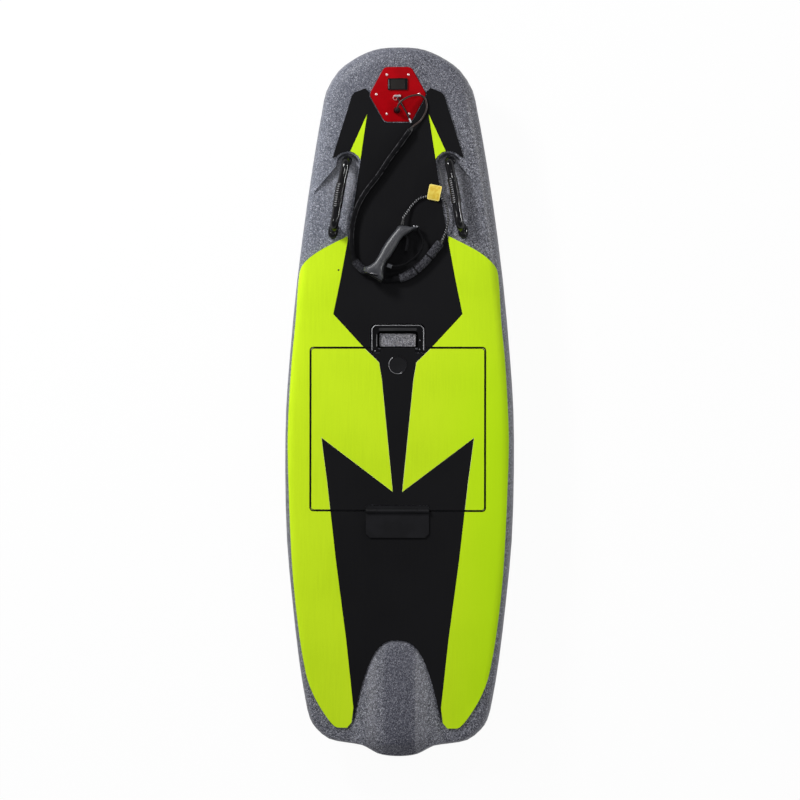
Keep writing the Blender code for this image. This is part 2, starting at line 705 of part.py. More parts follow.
def pocket_outline():
    """Edge of the starboard hand pocket at deck level."""
    middle = spot(POCKET_ARCH_SHARE)
    inner = [spot(pair) for pair in POCKET_INNER_SHARES]
    aft = [spot(pair) for pair in POCKET_AFT_SHARES]
    crease = [spot(pair) for pair in POCKET_CREASE_SHARES]
    arch = []
    for step in range(POCKET_ARCH_STEPS + 1):
        angle = radians(20) + radians(160) * step / POCKET_ARCH_STEPS
        arch.append(middle + POCKET_ARCH_RADIUS * Vector((cos(angle), sin(angle))))
    return crease + arch + inner[1:] + aft


def pocket_frame(side):
    """Carrier of one pocket: its floor is the plane Z = 0 of this frame."""
    inner = spot(POCKET_INNER_SHARES[0])
    location = Vector((side * inner.x, inner.y, deck_z(inner.x, inner.y) - POCKET_DEPTH))
    normal = Vector((-side * POCKET_ROLL_SHARE, POCKET_PITCH_SHARE, 1.0))
    rotation = Vector((0.0, 0.0, 1.0)).rotation_difference(normal)
    return pivot("pocket_frame_" + SIDE_NAMES[side], location, rotation)


def panel_outline(margin=0.0):
    """The display panel's long hexagon, in its own frame."""
    top = PANEL_TOP_EDGE / 2
    corners = [Vector((PANEL_HALF_WIDTH, 0.0)), Vector((top, PANEL_HALF_LENGTH)),
               Vector((-top, PANEL_HALF_LENGTH)), Vector((-PANEL_HALF_WIDTH, 0.0)),
               Vector((-top, -PANEL_HALF_LENGTH)), Vector((top, -PANEL_HALF_LENGTH))]
    rounded = rounded_corners(corners, PANEL_CORNER)
    return offset_outline(rounded, margin) if margin else rounded


def panel_frame():
    y = BOW_Y - PANEL_SETBACK
    slope = (deck_z(0.0, y + PANEL_HALF_LENGTH) - deck_z(0.0, y - PANEL_HALF_LENGTH)) / (2 * PANEL_HALF_LENGTH)
    rotation = Vector((0.0, 0.0, 1.0)).rotation_difference(Vector((0.0, -slope, 1.0)))
    return pivot("panel_frame", Vector((0.0, y, deck_z(0.0, y))), rotation)


def hood_outline(margin=0.0):
    """Where the hood meets the deck, from its apex to the stern."""
    half = []
    for row in range(HOOD_ROWS + 1):
        run = HOOD_REACH * 1.25 * (row / HOOD_ROWS) ** 2
        half.append(Vector((hood_half_width(run), along(HOOD_APEX_SHARE) - run)))
    outline = mirrored(half)
    return offset_outline(outline, margin) if margin else outline


def hood_half_width(run):
    return HOOD_HALF_WIDTH * (max(run, 0.0) / HOOD_REACH) ** HOOD_WIDTH_POWER


def latch_recess_outline():
    front = LATCH_Y + LATCH_LENGTH - LATCH_LEG_END + LATCH_PLAY
    back = LATCH_Y - LATCH_LEG_END - LATCH_PLAY
    center = Vector((0.0, (front + back) / 2))
    return rounded_rectangle(LATCH_WIDTH + 2 * LATCH_PLAY, front - back, LATCH_CORNER, center)


def latch_notch_outline(side):
    """Notch in the lid's front edge that takes one leg of the latch and its lug."""
    outer = LATCH_WIDTH / 2 + LATCH_SIDE_PLAY
    inner = LATCH_WIDTH / 2 - LATCH_BAND - 2 * LATCH_LUG_PLAY - LATCH_LUG_WIDTH
    back = LATCH_Y - LATCH_LEG_END - LATCH_PLAY
    front = LID_FRONT_Y + LATCH_BAND
    center = Vector((side * (outer + inner) / 2, (front + back) / 2))
    return rounded_rectangle(outer - inner, front - back, LATCH_PLAY, center)


def build_hull(pockets, panel):
    """The flecked hull: a lofted board, the hood joined on, and all that is let into it cut out."""
    path = side_path()
    rows = [bottom_chain(p) + top_chain(p, 0) for p in path]
    hull = place(loft("hull", rows, closed_rows=False, caps=False), "fleck_grey")
    mirror = hull.modifiers.new("port_side", "MIRROR")
    mirror.merge_threshold = 1e-5
    mirror.use_clip = True

    hood = place(build_hood(path))
    cut(hull, hood, "UNION")

    opening = rounded_rectangle(HATCH_WIDTH, HATCH_LENGTH, HATCH_CORNER, Vector((0.0, HATCH_Y)))
    tub = rounded_rectangle(TUB_WIDTH + 2 * SEAT_GAP, TUB_LENGTH + 2 * SEAT_GAP, TUB_CORNER,
                            Vector((0.0, HATCH_Y)))
    cut(hull, place(prism("hatch_cut", opening, LEDGE_HEIGHT, DECK_HEIGHT + OVERRUN)))
    cut(hull, place(prism("tub_cut", tub, TUB_FLOOR_HEIGHT - SEAT_GAP, DECK_HEIGHT + OVERRUN)))
    recess = latch_recess_outline()
    cut(hull, place(prism("latch_cut", recess, DECK_HEIGHT - LATCH_RECESS_DEPTH, DECK_HEIGHT + OVERRUN)))

    for side, frame in pockets.items():
        outline = pocket_outline() if side > 0 else flipped(pocket_outline())
        local = [p - frame.location.xy for p in outline]
        tool = prism("pocket_cut_" + SIDE_NAMES[side], local, 0.0, OVERRUN, -POCKET_DRAFT)
        bevel(tool, POCKET_FILLET, 3, radians(60))
        cut(hull, place(tool, carrier=frame, local=True))

    seat = prism("panel_cut", panel_outline(SEAT_GAP), -PANEL_SINK - SEAT_GAP, OVERRUN)
    cut(hull, place(seat, carrier=panel, local=True))

    axis = Vector((0.0, 0.0, PUMP_AXIS_HEIGHT))
    motor_center = axis + Vector((0.0, (TUB_AFT_Y + OVERRUN + MOTOR_AFT_Y - SEAT_GAP) / 2, 0.0))
    motor_cut = cylinder("motor_cut", MOTOR_RADIUS + SEAT_GAP, TUB_AFT_Y + OVERRUN - MOTOR_AFT_Y + SEAT_GAP,
                         motor_center, "Y")
    cut(hull, place(motor_cut))
    shaft_center = axis + Vector((0.0, (MOTOR_AFT_Y + HOUSING_FORE_Y) / 2, 0.0))
    cut(hull, place(cylinder("shaft_cut", SHAFT_RADIUS + SHAFT_CLEARANCE, MOTOR_AFT_Y - HOUSING_FORE_Y,
                             shaft_center, "Y")))
    bore_length = HOUSING_FORE_Y + SEAT_GAP + BOW_Y + OVERRUN
    bore_center = axis + Vector((0.0, HOUSING_FORE_Y + SEAT_GAP - bore_length / 2, 0.0))
    cut(hull, place(cylinder("bore_cut", HOUSING_RADIUS + SEAT_GAP, bore_length, bore_center, "Y")))
    cut(hull, place(build_intake_cut()))
    for side in (-1, 1):
        cut(hull, place(fin_slot(side)))
    return hull


def build_hood(path):
    """A raised hood that widens and rises from its apex and rounds off at the stern."""
    rows = []
    apex_y = along(HOOD_APEX_SHARE)
    total = apex_y + BOW_Y - HOOD_RIM
    for row in range(HOOD_ROWS + 1):
        run = total * (row / HOOD_ROWS) ** 1.4 + HOOD_RIM / 4
        y = apex_y - run
        left = clamp((y + BOW_Y - HOOD_RIM) / HOOD_END_FALL, 0.0, 1.0)
        fall = (1 - (1 - left) ** 2) ** 0.5
        height = HOOD_HEIGHT * min(run / HOOD_REACH, 1.0) ** HOOD_HEIGHT_POWER * fall
        width = hood_half_width(run)
        points = []
        for column in range(HOOD_COLUMNS + 1):
            u = 2 * column / HOOD_COLUMNS - 1
            x = width * sin(u * pi / 2)
            rise = 1 - abs(x / width) ** HOOD_ROUNDNESS
            points.append(Vector((x, y, deck_z(x, y) + height * rise)))
        foot = DECK_HEIGHT - HOOD_SINK
        points += [Vector((width, y, foot)), Vector((-width, y, foot))]
        rows.append(points)
    hood = loft("hood_form", rows)
    inner = [inward(p, HOOD_RIM) for p in path[:-1]] + [inward(path[-1], HOOD_RIM)]
    trim = place(prism("hood_trim", mirrored(inner), DECK_HEIGHT - OVERRUN, DECK_HEIGHT + OVERRUN))
    return cut(hood, trim, "INTERSECT")


def build_intake_cut():
    """The water way, lofted from the rounded opening in the bottom to the round pump bore."""
    count = 4 * (CORNER_STEPS + 1)
    middle_y = INTAKE_Y
    width = INTAKE_WIDTH - 2 * GRATE_FRAME
    length = INTAKE_LENGTH - 2 * GRATE_FRAME
    low_ring = [Vector((p.x, p.y, bottom_z(p.y) - GRATE_DEPTH)) for p in
                rounded_rectangle(width, length, INTAKE_CORNER - GRATE_FRAME, Vector((0.0, middle_y)))]
    bore = HOUSING_RADIUS - HOUSING_WALL
    high_ring = []
    for i in range(count):
        angle = 2 * pi * (i + 0.5 * CORNER_STEPS / (CORNER_STEPS + 1) - CORNER_STEPS / 2) / count + pi / 4
        high_ring.append(Vector((bore * cos(angle), HOUSING_FORE_Y, PUMP_AXIS_HEIGHT + bore * sin(angle))))
    rows = []
    for row in range(INTAKE_ROWS + 1):
        t = row / INTAKE_ROWS
        ring = []
        for low, high in zip(low_ring, high_ring):
            climb = Vector((low.x, low.y, low.z + GRATE_DEPTH + (high.z - low.z) * 0.35))
            lead = Vector((high.x, high.y + (low.y - high.y) * 0.35, high.z))
            ring.append(((1 - t) ** 3) * low + 3 * t * (1 - t) ** 2 * climb + 3 * t * t * (1 - t) * lead
                        + t ** 3 * high)
        rows.append(ring)
    rows.append([Vector((p.x, HOUSING_FORE_Y - STATOR_HUB_RADIUS, p.z)) for p in high_ring])
    return loft("intake_cut", rows)


def deck_sheet(name, lift, thickness):
    """Half of a sheet laid over the deck, open at the centre line for a Mirror modifier."""
    first_step = RAIL_TOP_STEPS // 2
    rows = []
    for point in side_path():
        chain = top_chain(point, first_step)
        low = [p + Vector((0.0, 0.0, lift)) for p in reversed(chain)]
        high = [p + Vector((0.0, 0.0, lift + thickness)) for p in chain]
        rows.append(low + high)
    sheet = loft(name, rows, closed_rows=False, caps=False)
    mesh = sheet.data
    bpy.data.objects.remove(sheet)
    return mesh


def build_pad(name, sheet, outline, finish, keep=None, removed=(), carrier=None):
    """One grip pad: the sheet over the deck, kept inside its outline."""
    pad = bpy.data.objects.new(name, sheet.copy())
    mirror = pad.modifiers.new("port_side", "MIRROR")
    mirror.merge_threshold = 1e-5
    mirror.use_clip = True
    inner = offset_outline(outline, -PAD_JOINT / 2)
    cut(pad, place(prism(name + "_form", inner, DECK_HEIGHT - OVERRUN, DECK_HEIGHT + OVERRUN)), "INTERSECT")
    if keep:
        cut(pad, keep, "INTERSECT")
    for tool in removed:
        cut(pad, tool)
    return place(pad, finish, carrier)


def lime_outline():
    outer = smooth_path([spot(pair) for pair in LIME_FORE_SHARES], PAD_EDGE_STEPS)
    rest = LIME_TOE_SHARES + TAIL_EDGE_SHARES + NECK_EDGE_SHARES + SPINE_EDGE_SHARES[:3]
    return outer + [spot(pair) for pair in rest]


def fore_outline():
    half = LOBE_EDGE_SHARES[::-1] + LOBE_TOE_SHARES[::-1] + WEDGE_TOE_SHARES[-1:]
    half += (WEDGE_APEX_SHARE,) + SPINE_EDGE_SHARES[::-1] + NECK_EDGE_SHARES[-1:]
    points = [spot(pair) for pair in half]
    return mirrored([Vector((0.0, points[0].y))] + points + [Vector((0.0, points[-1].y))])


def wedge_outline():
    return [spot(pair) for pair in (WEDGE_APEX_SHARE, SPINE_EDGE_SHARES[-1]) + WEDGE_TOE_SHARES]


def hatch_black_outline():
    corner, notch = spot(SPINE_EDGE_SHARES[0]), spot(NECK_EDGE_SHARES[-1])
    start = corner.lerp(notch, 0.65)
    tail = [spot(pair) for pair in TAIL_EDGE_SHARES[::-1]]
    end = tail[-1] if tail[-1].y > LID_AFT_Y else tail[3]
    neck = [spot(pair) for pair in NECK_EDGE_SHARES[::-1]]
    half = [Vector((0.0, start.y)), start] + neck + tail[:4] + [Vector((0.0, end.y))]
    return mirrored(half)


def tail_outline():
    half = [spot(pair) for pair in TAIL_EDGE_SHARES[::-1][1:] + TAIL_TOE_SHARES]
    top = Vector((0.0, half[0].y))
    return mirrored([top] + half + [Vector((0.0, half[-1].y))])


def build_pads(hatch_pivot, panel):
    sheet = deck_sheet("deck_sheet", SEAT_GAP, PAD_THICKNESS)
    lid_outline = rounded_rectangle(LID_WIDTH, LID_LENGTH, HATCH_CORNER - HATCH_GAP, Vector((0.0, HATCH_Y)))
    opening = rounded_rectangle(HATCH_WIDTH, HATCH_LENGTH, HATCH_CORNER, Vector((0.0, HATCH_Y)))
    low, high = DECK_HEIGHT - OVERRUN, DECK_HEIGHT + OVERRUN
    lid_form = place(prism("lid_form", lid_outline, low, high))
    opening_form = place(prism("opening_form", opening, low, high))
    latch_form = place(prism("latch_form", latch_recess_outline(), low, high))
    notch_forms = [place(prism("notch_form_" + SIDE_NAMES[side], latch_notch_outline(side), low, high))
                   for side in (-1, 1)]
    hood_form = place(prism("hood_clear", hood_outline(PAD_JOINT), low, high))
    panel_clear = place(prism("panel_clear", panel_outline(PANEL_MARGIN), -OVERRUN, OVERRUN), carrier=panel,
                        local=True)
    plug_spot = Vector((0.0, LID_FRONT_Y - PLUG_TO_FRONT, DECK_HEIGHT))
    plug_clear = place(cylinder("plug_clear", PLUG_RADIUS + SEAT_GAP, 2 * OVERRUN, plug_spot))
    leaf_clear = place(box("leaf_clear", (HINGE_PLATE_WIDTH + 2 * HINGE_NOTCH_PLAY, 2 * HINGE_LEAF_LENGTH, OVERRUN),
                           Vector((0.0, HINGE_Y + HATCH_GAP / 2 + HINGE_NOTCH_PLAY, DECK_HEIGHT + OVERRUN / 4))))

    build_pad("pad_fore_black", sheet, fore_outline(), "pad_black", None,
              (panel_clear, opening_form, latch_form))
    build_pad("pad_tail_black", sheet, tail_outline(), "pad_black", None, (opening_form, hood_form))
    build_pad("hatch_pad_black", sheet, hatch_black_outline(), "pad_black", lid_form,
              (*notch_forms, plug_clear, leaf_clear), hatch_pivot)
    for side in (-1, 1):
        lime = lime_outline() if side > 0 else flipped(lime_outline())
        wedge = wedge_outline() if side > 0 else flipped(wedge_outline())
        label = SIDE_NAMES[side]
        build_pad("pad_lime_" + label, sheet, lime, "pad_lime", None, (opening_form,))
        build_pad("hatch_pad_lime_" + label, sheet, lime, "pad_lime", lid_form, notch_forms, hatch_pivot)
        build_pad("pad_wedge_" + label, sheet, wedge, "pad_lime")


def build_hatch(hatch_pivot):
    """Lid with the latch notch, its plug, its hinge leaf, and the tub, seal and battery below it."""
    outline = rounded_rectangle(LID_WIDTH, LID_LENGTH, HATCH_CORNER - HATCH_GAP, Vector((0.0, HATCH_Y)))
    lid = prism("hatch_lid", outline, DECK_HEIGHT - LID_THICKNESS, DECK_HEIGHT)
    for side in (-1, 1):
        cut(lid, place(prism("lid_notch_" + SIDE_NAMES[side], latch_notch_outline(side),
                             DECK_HEIGHT - LATCH_NOTCH_DEPTH, DECK_HEIGHT + OVERRUN)))
    place(lid, "fleck_grey", hatch_pivot)

    proud = PAD_THICKNESS + PLUG_PROUD
    profile = ((0.0, proud - PLUG_DISH), (PLUG_RADIUS - PLUG_RIM, proud - PLUG_DISH),
               (PLUG_RADIUS - PLUG_RIM * 0.8, proud), (PLUG_RADIUS, proud), (PLUG_RADIUS, 0.0), (0.0, 0.0))
    plug = turned("vent_plug", profile)
    plug.location = (0.0, LID_FRONT_Y - PLUG_TO_FRONT, DECK_HEIGHT + SEAT_GAP)
    place(plug, "gloss_black", hatch_pivot)

    leaf_aft = HINGE_Y + HATCH_GAP / 2
    leaf = box("hinge_leaf", (HINGE_PLATE_WIDTH, HINGE_LEAF_LENGTH, HINGE_LEAF_THICKNESS),
               Vector((0.0, leaf_aft + HINGE_LEAF_LENGTH / 2, DECK_HEIGHT + SEAT_GAP + HINGE_LEAF_THICKNESS / 2)))
    knuckle_x = HINGE_PLATE_WIDTH / 2 - HINGE_KNUCKLE_LENGTH / 2
    arm_top = HINGE_Z
    arm_low = DECK_HEIGHT + SEAT_GAP + HINGE_LEAF_THICKNESS / 2
    for side in (-1, 1):
        barrel = cylinder("leaf_barrel_" + SIDE_NAMES[side], HINGE_BARREL_RADIUS, HINGE_KNUCKLE_LENGTH,
                          Vector((side * knuckle_x, HINGE_Y, HINGE_Z)), "X", 20)
        arm = box("leaf_arm_" + SIDE_NAMES[side], (HINGE_KNUCKLE_LENGTH, HINGE_BARREL_RADIUS, arm_top - arm_low),
                  Vector((side * knuckle_x, leaf_aft + HINGE_BARREL_RADIUS / 2 + HINGE_PIN_RADIUS / 4,
                          (arm_top + arm_low) / 2)))
        cut(leaf, place(arm), "UNION")
        cut(leaf, place(barrel), "UNION")
    pin_bore = place(cylinder("pin_bore", HINGE_BORE_RADIUS, HINGE_PLATE_WIDTH + OVERRUN,
                              Vector((0.0, HINGE_Y, HINGE_Z)), "X", 20))
    cut(leaf, pin_bore)
    place(leaf, "matte_black", hatch_pivot)

    plate_front = HINGE_Y
    plate_back = LID_AFT_Y - HATCH_GAP - HINGE_PLATE_LENGTH
    width = HINGE_PLATE_WIDTH - 2 * HINGE_KNUCKLE_LENGTH - 2 * HINGE_KNUCKLE_PLAY
    base = HINGE_Z - HINGE_BARREL_RADIUS
    clear = HINGE_BARREL_RADIUS + HINGE_KNUCKLE_PLAY
    half = [Vector((width / 2, plate_front)), Vector((width / 2, plate_front - clear)),
            Vector((HINGE_PLATE_WIDTH / 2, plate_front - clear)),
            Vector((HINGE_PLATE_WIDTH / 2, plate_back + HINGE_PLATE_CORNER)),
            Vector((HINGE_PLATE_WIDTH / 2 - HINGE_PLATE_CORNER, plate_back))]
    plate = prism("hinge_plate", mirrored(half), base, base + HINGE_PLATE_THICKNESS)
    cut(plate, place(cylinder("plate_barrel", HINGE_BARREL_RADIUS, width, Vector((0.0, HINGE_Y, HINGE_Z)), "X",
                              20)), "UNION")
    cut(plate, pin_bore)
    place(plate, "matte_black")
    place(cylinder("hinge_pin", HINGE_PIN_RADIUS, HINGE_PLATE_WIDTH, Vector((0.0, HINGE_Y, HINGE_Z)), "X", 16),
          "steel")


def build_battery_bay():
    center = Vector((0.0, HATCH_Y))
    outer = rounded_rectangle(TUB_WIDTH, TUB_LENGTH, TUB_CORNER, center)
    flange = rounded_rectangle(HATCH_WIDTH - 2 * FLANGE_INSET, HATCH_LENGTH - 2 * FLANGE_INSET, HATCH_CORNER, center)
    inner = offset_outline(outer, -TUB_WALL)
    tub = prism("battery_tub", outer, TUB_FLOOR_HEIGHT, FLANGE_TOP - FLANGE_THICKNESS / 2)
    cut(tub, place(prism("tub_flange", flange, FLANGE_TOP - FLANGE_THICKNESS, FLANGE_TOP)), "UNION")
    cut(tub, place(prism("tub_hollow", inner, TUB_FLOOR_HEIGHT + TUB_WALL, DECK_HEIGHT)))
    axis = Vector((0.0, TUB_AFT_Y, PUMP_AXIS_HEIGHT))
    cut(tub, place(cylinder("tub_motor_hole", MOTOR_RADIUS + SEAT_GAP, 2 * TUB_CORNER, axis, "Y")))
    place(tub, "tub_grey")

    middle = offset_outline(inner, SEAL_WIDTH / 2 + TUB_WALL)
    seal_inner = offset_outline(middle, -SEAL_WIDTH / 2)
    seal_outer = offset_outline(middle, SEAL_WIDTH / 2)
    seal = prism("hatch_seal", seal_outer, FLANGE_TOP + SEAT_GAP, SEAL_TOP)
    cut(seal, place(prism("seal_hollow", seal_inner, FLANGE_TOP, SEAL_TOP + OVERRUN)))
    place(seal, "rubber")

    floor = TUB_FLOOR_HEIGHT + TUB_WALL + SEAT_GAP
    aft = TUB_AFT_Y + TUB_WALL + MOTOR_PROUD + BATTERY_AFT_CLEARANCE
    battery_y = aft + BATTERY_LENGTH / 2
    battery = box("battery_pack", (BATTERY_WIDTH, BATTERY_LENGTH, BATTERY_HEIGHT),
                  Vector((0.0, battery_y, floor + BATTERY_HEIGHT / 2)))
    place(bevel(battery, BATTERY_EDGE), "matte_black")
    top = floor + BATTERY_HEIGHT + SEAT_GAP
    span = BATTERY_HANDLE_SPAN / 2
    rise = BATTERY_HANDLE_RISE - BATTERY_HANDLE_RADIUS
    arch = [Vector((-span, battery_y, top)), Vector((-span, battery_y, top + rise * 0.6)),
            Vector((-span + rise * 0.6, battery_y, top + rise)), Vector((span - rise * 0.6, battery_y, top + rise)),
            Vector((span, battery_y, top + rise * 0.6)), Vector((span, battery_y, top))]
    place(as_mesh(tube("battery_handle", arch, BATTERY_HANDLE_RADIUS)), "rubber")


def build_latch(hatch_pivot, latch_pivot):
    """A flat U bail that lies in its recess on a catch and turns on two lugs of the lid."""
    front = LATCH_Y + LATCH_LENGTH - LATCH_LEG_END
    back = LATCH_Y - LATCH_LEG_END
    low = DECK_HEIGHT - LATCH_SINK
    full = rounded_rectangle(LATCH_WIDTH, 2 * (front - back), LATCH_CORNER, Vector((0.0, back)))
    hole = rounded_rectangle(LATCH_WIDTH - 2 * LATCH_BAND, 2 * (front - back - LATCH_BAND),
                             LATCH_CORNER - LATCH_BAND / 2, Vector((0.0, back)))
    bail = prism("latch_bail", full, low, low + LATCH_THICKNESS)
    cut(bail, place(prism("bail_hole", hole, low - OVERRUN, low + OVERRUN)))
    cut(bail, place(box("bail_end", (LATCH_WIDTH * 2, front - back + OVERRUN, 2 * OVERRUN),
                        Vector((0.0, back - (front - back + OVERRUN) / 2, low)))))
    bore = 2 * (LATCH_WIDTH / 2 - LATCH_BAND + LATCH_PIN_LENGTH + LATCH_LUG_PLAY)
    cut(bail, place(cylinder("bail_bore", LATCH_BORE_RADIUS, bore, Vector((0.0, LATCH_Y, LATCH_Z)), "X", 16)))
    place(bail, "gloss_black", latch_pivot)

    inner = LATCH_WIDTH / 2 - LATCH_BAND - LATCH_LUG_PLAY
    lug_low = DECK_HEIGHT - LATCH_NOTCH_DEPTH + SEAT_GAP
    lug_top = LATCH_Z + LATCH_THICKNESS / 2
    for side in (-1, 1):
        center = Vector((side * (inner - LATCH_LUG_WIDTH / 2), LATCH_Y, (lug_low + lug_top) / 2))
        lug = box("latch_lug_" + SIDE_NAMES[side], (LATCH_LUG_WIDTH, 2 * LATCH_LEG_END, lug_top - lug_low), center)
        reach = LATCH_LUG_WIDTH / 2 + LATCH_LUG_PLAY + LATCH_PIN_LENGTH
        pin = cylinder("lug_pin_" + SIDE_NAMES[side], LATCH_PIN_RADIUS, reach,
                       Vector((side * (inner - LATCH_LUG_WIDTH / 2 + reach / 2), LATCH_Y, LATCH_Z)), "X", 16)
        cut(lug, place(pin), "UNION")
        place(lug, "matte_black", hatch_pivot)

    catch_low = DECK_HEIGHT - LATCH_RECESS_DEPTH + SEAT_GAP
    catch_top = low - SEAT_GAP
    place(box("latch_catch", (CATCH_WIDTH, CATCH_LENGTH, catch_top - catch_low),
              Vector((0.0, front - LATCH_BAND / 2, (catch_low + catch_top) / 2))), "matte_black")


def build_panel(panel):
    """The red panel and what is on it, all in the panel's tilted frame."""
    plate = prism("display_panel", panel_outline(), -PANEL_SINK, PANEL_THICKNESS - PANEL_SINK)
    place(bevel(plate, PANEL_BEVEL), "panel_red", panel, True)
    top = PANEL_THICKNESS - PANEL_SINK + SEAT_GAP
    center = Vector((0.0, BEZEL_FORWARD))
    bezel = prism("display_bezel", rounded_rectangle(BEZEL_WIDTH, BEZEL_LENGTH, BEZEL_CORNER, center), top,
                  top + BEZEL_THICKNESS)
    window = rounded_rectangle(WINDOW_WIDTH, WINDOW_LENGTH, BEZEL_CORNER / 2, center)
    cut(bezel, place(prism("window_cut", offset_outline(window, SEAT_GAP), top + BEZEL_THICKNESS - WINDOW_SINK
                           - SEAT_GAP, top + OVERRUN), carrier=panel, local=True))
    place(bezel, "gloss_black", panel, True)
    place(prism("display_window", window, top + BEZEL_THICKNESS - WINDOW_SINK,
                top + BEZEL_THICKNESS - SEAT_GAP), "window", panel, True)

    profile = ((0.0, KEY_SOCKET_HEIGHT), (KEY_SOCKET_RADIUS * 0.8, KEY_SOCKET_HEIGHT),
               (KEY_SOCKET_RADIUS, KEY_SOCKET_HEIGHT * 0.7), (KEY_SOCKET_RADIUS, 0.0), (0.0, 0.0))
    socket = turned("key_socket", profile)
    socket.location = (0.0, -KEY_SOCKET_AFT, top)
    place(socket, "panel_red", panel, True)
    clip_low = top + KEY_SOCKET_HEIGHT + SEAT_GAP
    clip = box("key_clip", (KEY_CLIP_WIDTH, KEY_CLIP_LENGTH, KEY_CLIP_HEIGHT),
               Vector((0.0, -KEY_SOCKET_AFT, clip_low + KEY_CLIP_HEIGHT / 2)))
    place(bevel(clip, KEY_CLIP_HEIGHT / 4), "steel", panel, True)

    profile = ((0.0, GLAND_HEIGHT), (GLAND_RADIUS * 0.55, GLAND_HEIGHT), (GLAND_RADIUS * 0.7, GLAND_HEIGHT * 0.6),
               (GLAND_RADIUS, GLAND_HEIGHT * 0.5), (GLAND_RADIUS, 0.0), (0.0, 0.0))
    gland = turned("cable_gland", profile)
    gland.location = (-GLAND_SIDE, -GLAND_AFT, top)
    place(gland, "gloss_black", panel, True)


def build_handle(side, frame):
    """One grab handle on its pocket floor: two bosses and a bent bar with a ribbed grip."""
    ends = [spot(pair) for pair in (HANDLE_FORE_SHARE, HANDLE_MIDDLE_SHARE, HANDLE_AFT_SHARE)]
    fore, middle, aft = [Vector((side * p.x, p.y)) - frame.location.xy for p in ends]
    run = (aft - fore).normalized()
    low = HANDLE_BOSS_HEIGHT / 2
    guide = [Vector((*fore, low)), Vector((*fore, HANDLE_HEIGHT - HANDLE_BEND * 0.55)),
             Vector((*(fore + run * HANDLE_BEND * 0.30), HANDLE_HEIGHT - HANDLE_BEND * 0.12)),
             Vector((*(fore + run * HANDLE_BEND), HANDLE_HEIGHT)), Vector((*middle, HANDLE_HEIGHT)),
             Vector((*(aft - run * HANDLE_BEND), HANDLE_HEIGHT)),
             Vector((*(aft - run * HANDLE_BEND * 0.30), HANDLE_HEIGHT - HANDLE_BEND * 0.12)),
             Vector((*aft, HANDLE_HEIGHT - HANDLE_BEND * 0.55)), Vector((*aft, low))]
    path = smooth_path(guide, 4)
    bar = as_mesh(tube("grab_handle_" + SIDE_NAMES[side], path, HANDLE_RADIUS, 4))
    for end, label in ((fore, "fore"), (aft, "aft")):
        boss = cylinder("boss_%s_%s" % (SIDE_NAMES[side], label), HANDLE_BOSS_RADIUS, HANDLE_BOSS_HEIGHT,
                        Vector((*end, SEAT_GAP + HANDLE_BOSS_HEIGHT / 2)), "Z", 24)
        cut(bar, place(boss, carrier=frame, local=True), "UNION")
    place(bar, "gloss_black", frame, True)


def build_drive(impeller_pivot):
    """Motor, pump housing with its stator, nozzle, and the impeller on its shaft."""
    axis_z = PUMP_AXIS_HEIGHT
    motor = cylinder("drive_motor", MOTOR_RADIUS, MOTOR_LENGTH,
                     Vector((0.0, (MOTOR_FORE_Y + MOTOR_AFT_Y) / 2, axis_z)), "Y")
    place(bevel(motor, MOTOR_EDGE), "alloy")

    length = HOUSING_LENGTH
    bore = HOUSING_RADIUS - HOUSING_WALL
    profile = ((HOUSING_RADIUS, length), (HOUSING_RADIUS, 0.0), (bore, 0.0), (bore, length))
    housing = as_mesh(turned("pump_housing", profile))
    tail = STATOR_HUB_RADIUS * STATOR_TAIL_SHARE
    hub_profile = ((0.0, STATOR_LENGTH), (STATOR_HUB_RADIUS, STATOR_LENGTH), (STATOR_HUB_RADIUS, STATOR_LENGTH / 3),
                   (tail, STATOR_TAIL_INSET), (0.0, STATOR_TAIL_INSET))
    hub = as_mesh(turned("stator_hub", hub_profile))
    vanes = bmesh.new()
    for i in range(STATOR_VANES):
        outer = bore + HOUSING_WALL / 2
        inner = STATOR_HUB_RADIUS / 2
        made = bmesh.ops.create_cube(vanes, size=1.0)
        bmesh.ops.scale(vanes, vec=(outer - inner, VANE_THICKNESS, STATOR_LENGTH * VANE_LENGTH_SHARE), verts=made["verts"])
        bmesh.ops.rotate(vanes, matrix=Matrix.Rotation(VANE_TWIST, 3, "X"), verts=made["verts"])
        bmesh.ops.translate(vanes, vec=((outer + inner) / 2, 0.0, STATOR_LENGTH / 2), verts=made["verts"])
        bmesh.ops.rotate(vanes, matrix=Matrix.Rotation(2 * pi * i / STATOR_VANES + pi / 2, 3, "Z"),
                         verts=made["verts"])
    vane_set = mesh_object("stator_vanes", vanes, clean=False)
    base = Vector((0.0, HOUSING_AFT_Y, axis_z))
    for made in (housing, hub, vane_set):
        made.rotation_mode = "QUATERNION"
        made.rotation_quaternion = Quaternion((1.0, 0.0, 0.0), -pi / 2)
        made.location = base
    cut(housing, place(vane_set), "UNION")
    cut(housing, place(hub), "UNION")
    place(housing, "alloy")

    straight = NOZZLE_LENGTH * (1 - NOZZLE_STRAIGHT_SHARE)
    profile = ((HOUSING_RADIUS, NOZZLE_LENGTH), (HOUSING_RADIUS, straight), (NOZZLE_MOUTH_RADIUS + NOZZLE_WALL, 0.0),
               (NOZZLE_MOUTH_RADIUS, 0.0), (bore, straight), (bore, NOZZLE_LENGTH))
    nozzle = turned("jet_nozzle", profile)
    nozzle.rotation_euler = (-pi / 2, 0.0, 0.0)
    nozzle.location = (0.0, NOZZLE_END_Y, axis_z)
    place(nozzle, "alloy")

    build_impeller(impeller_pivot, axis_z)


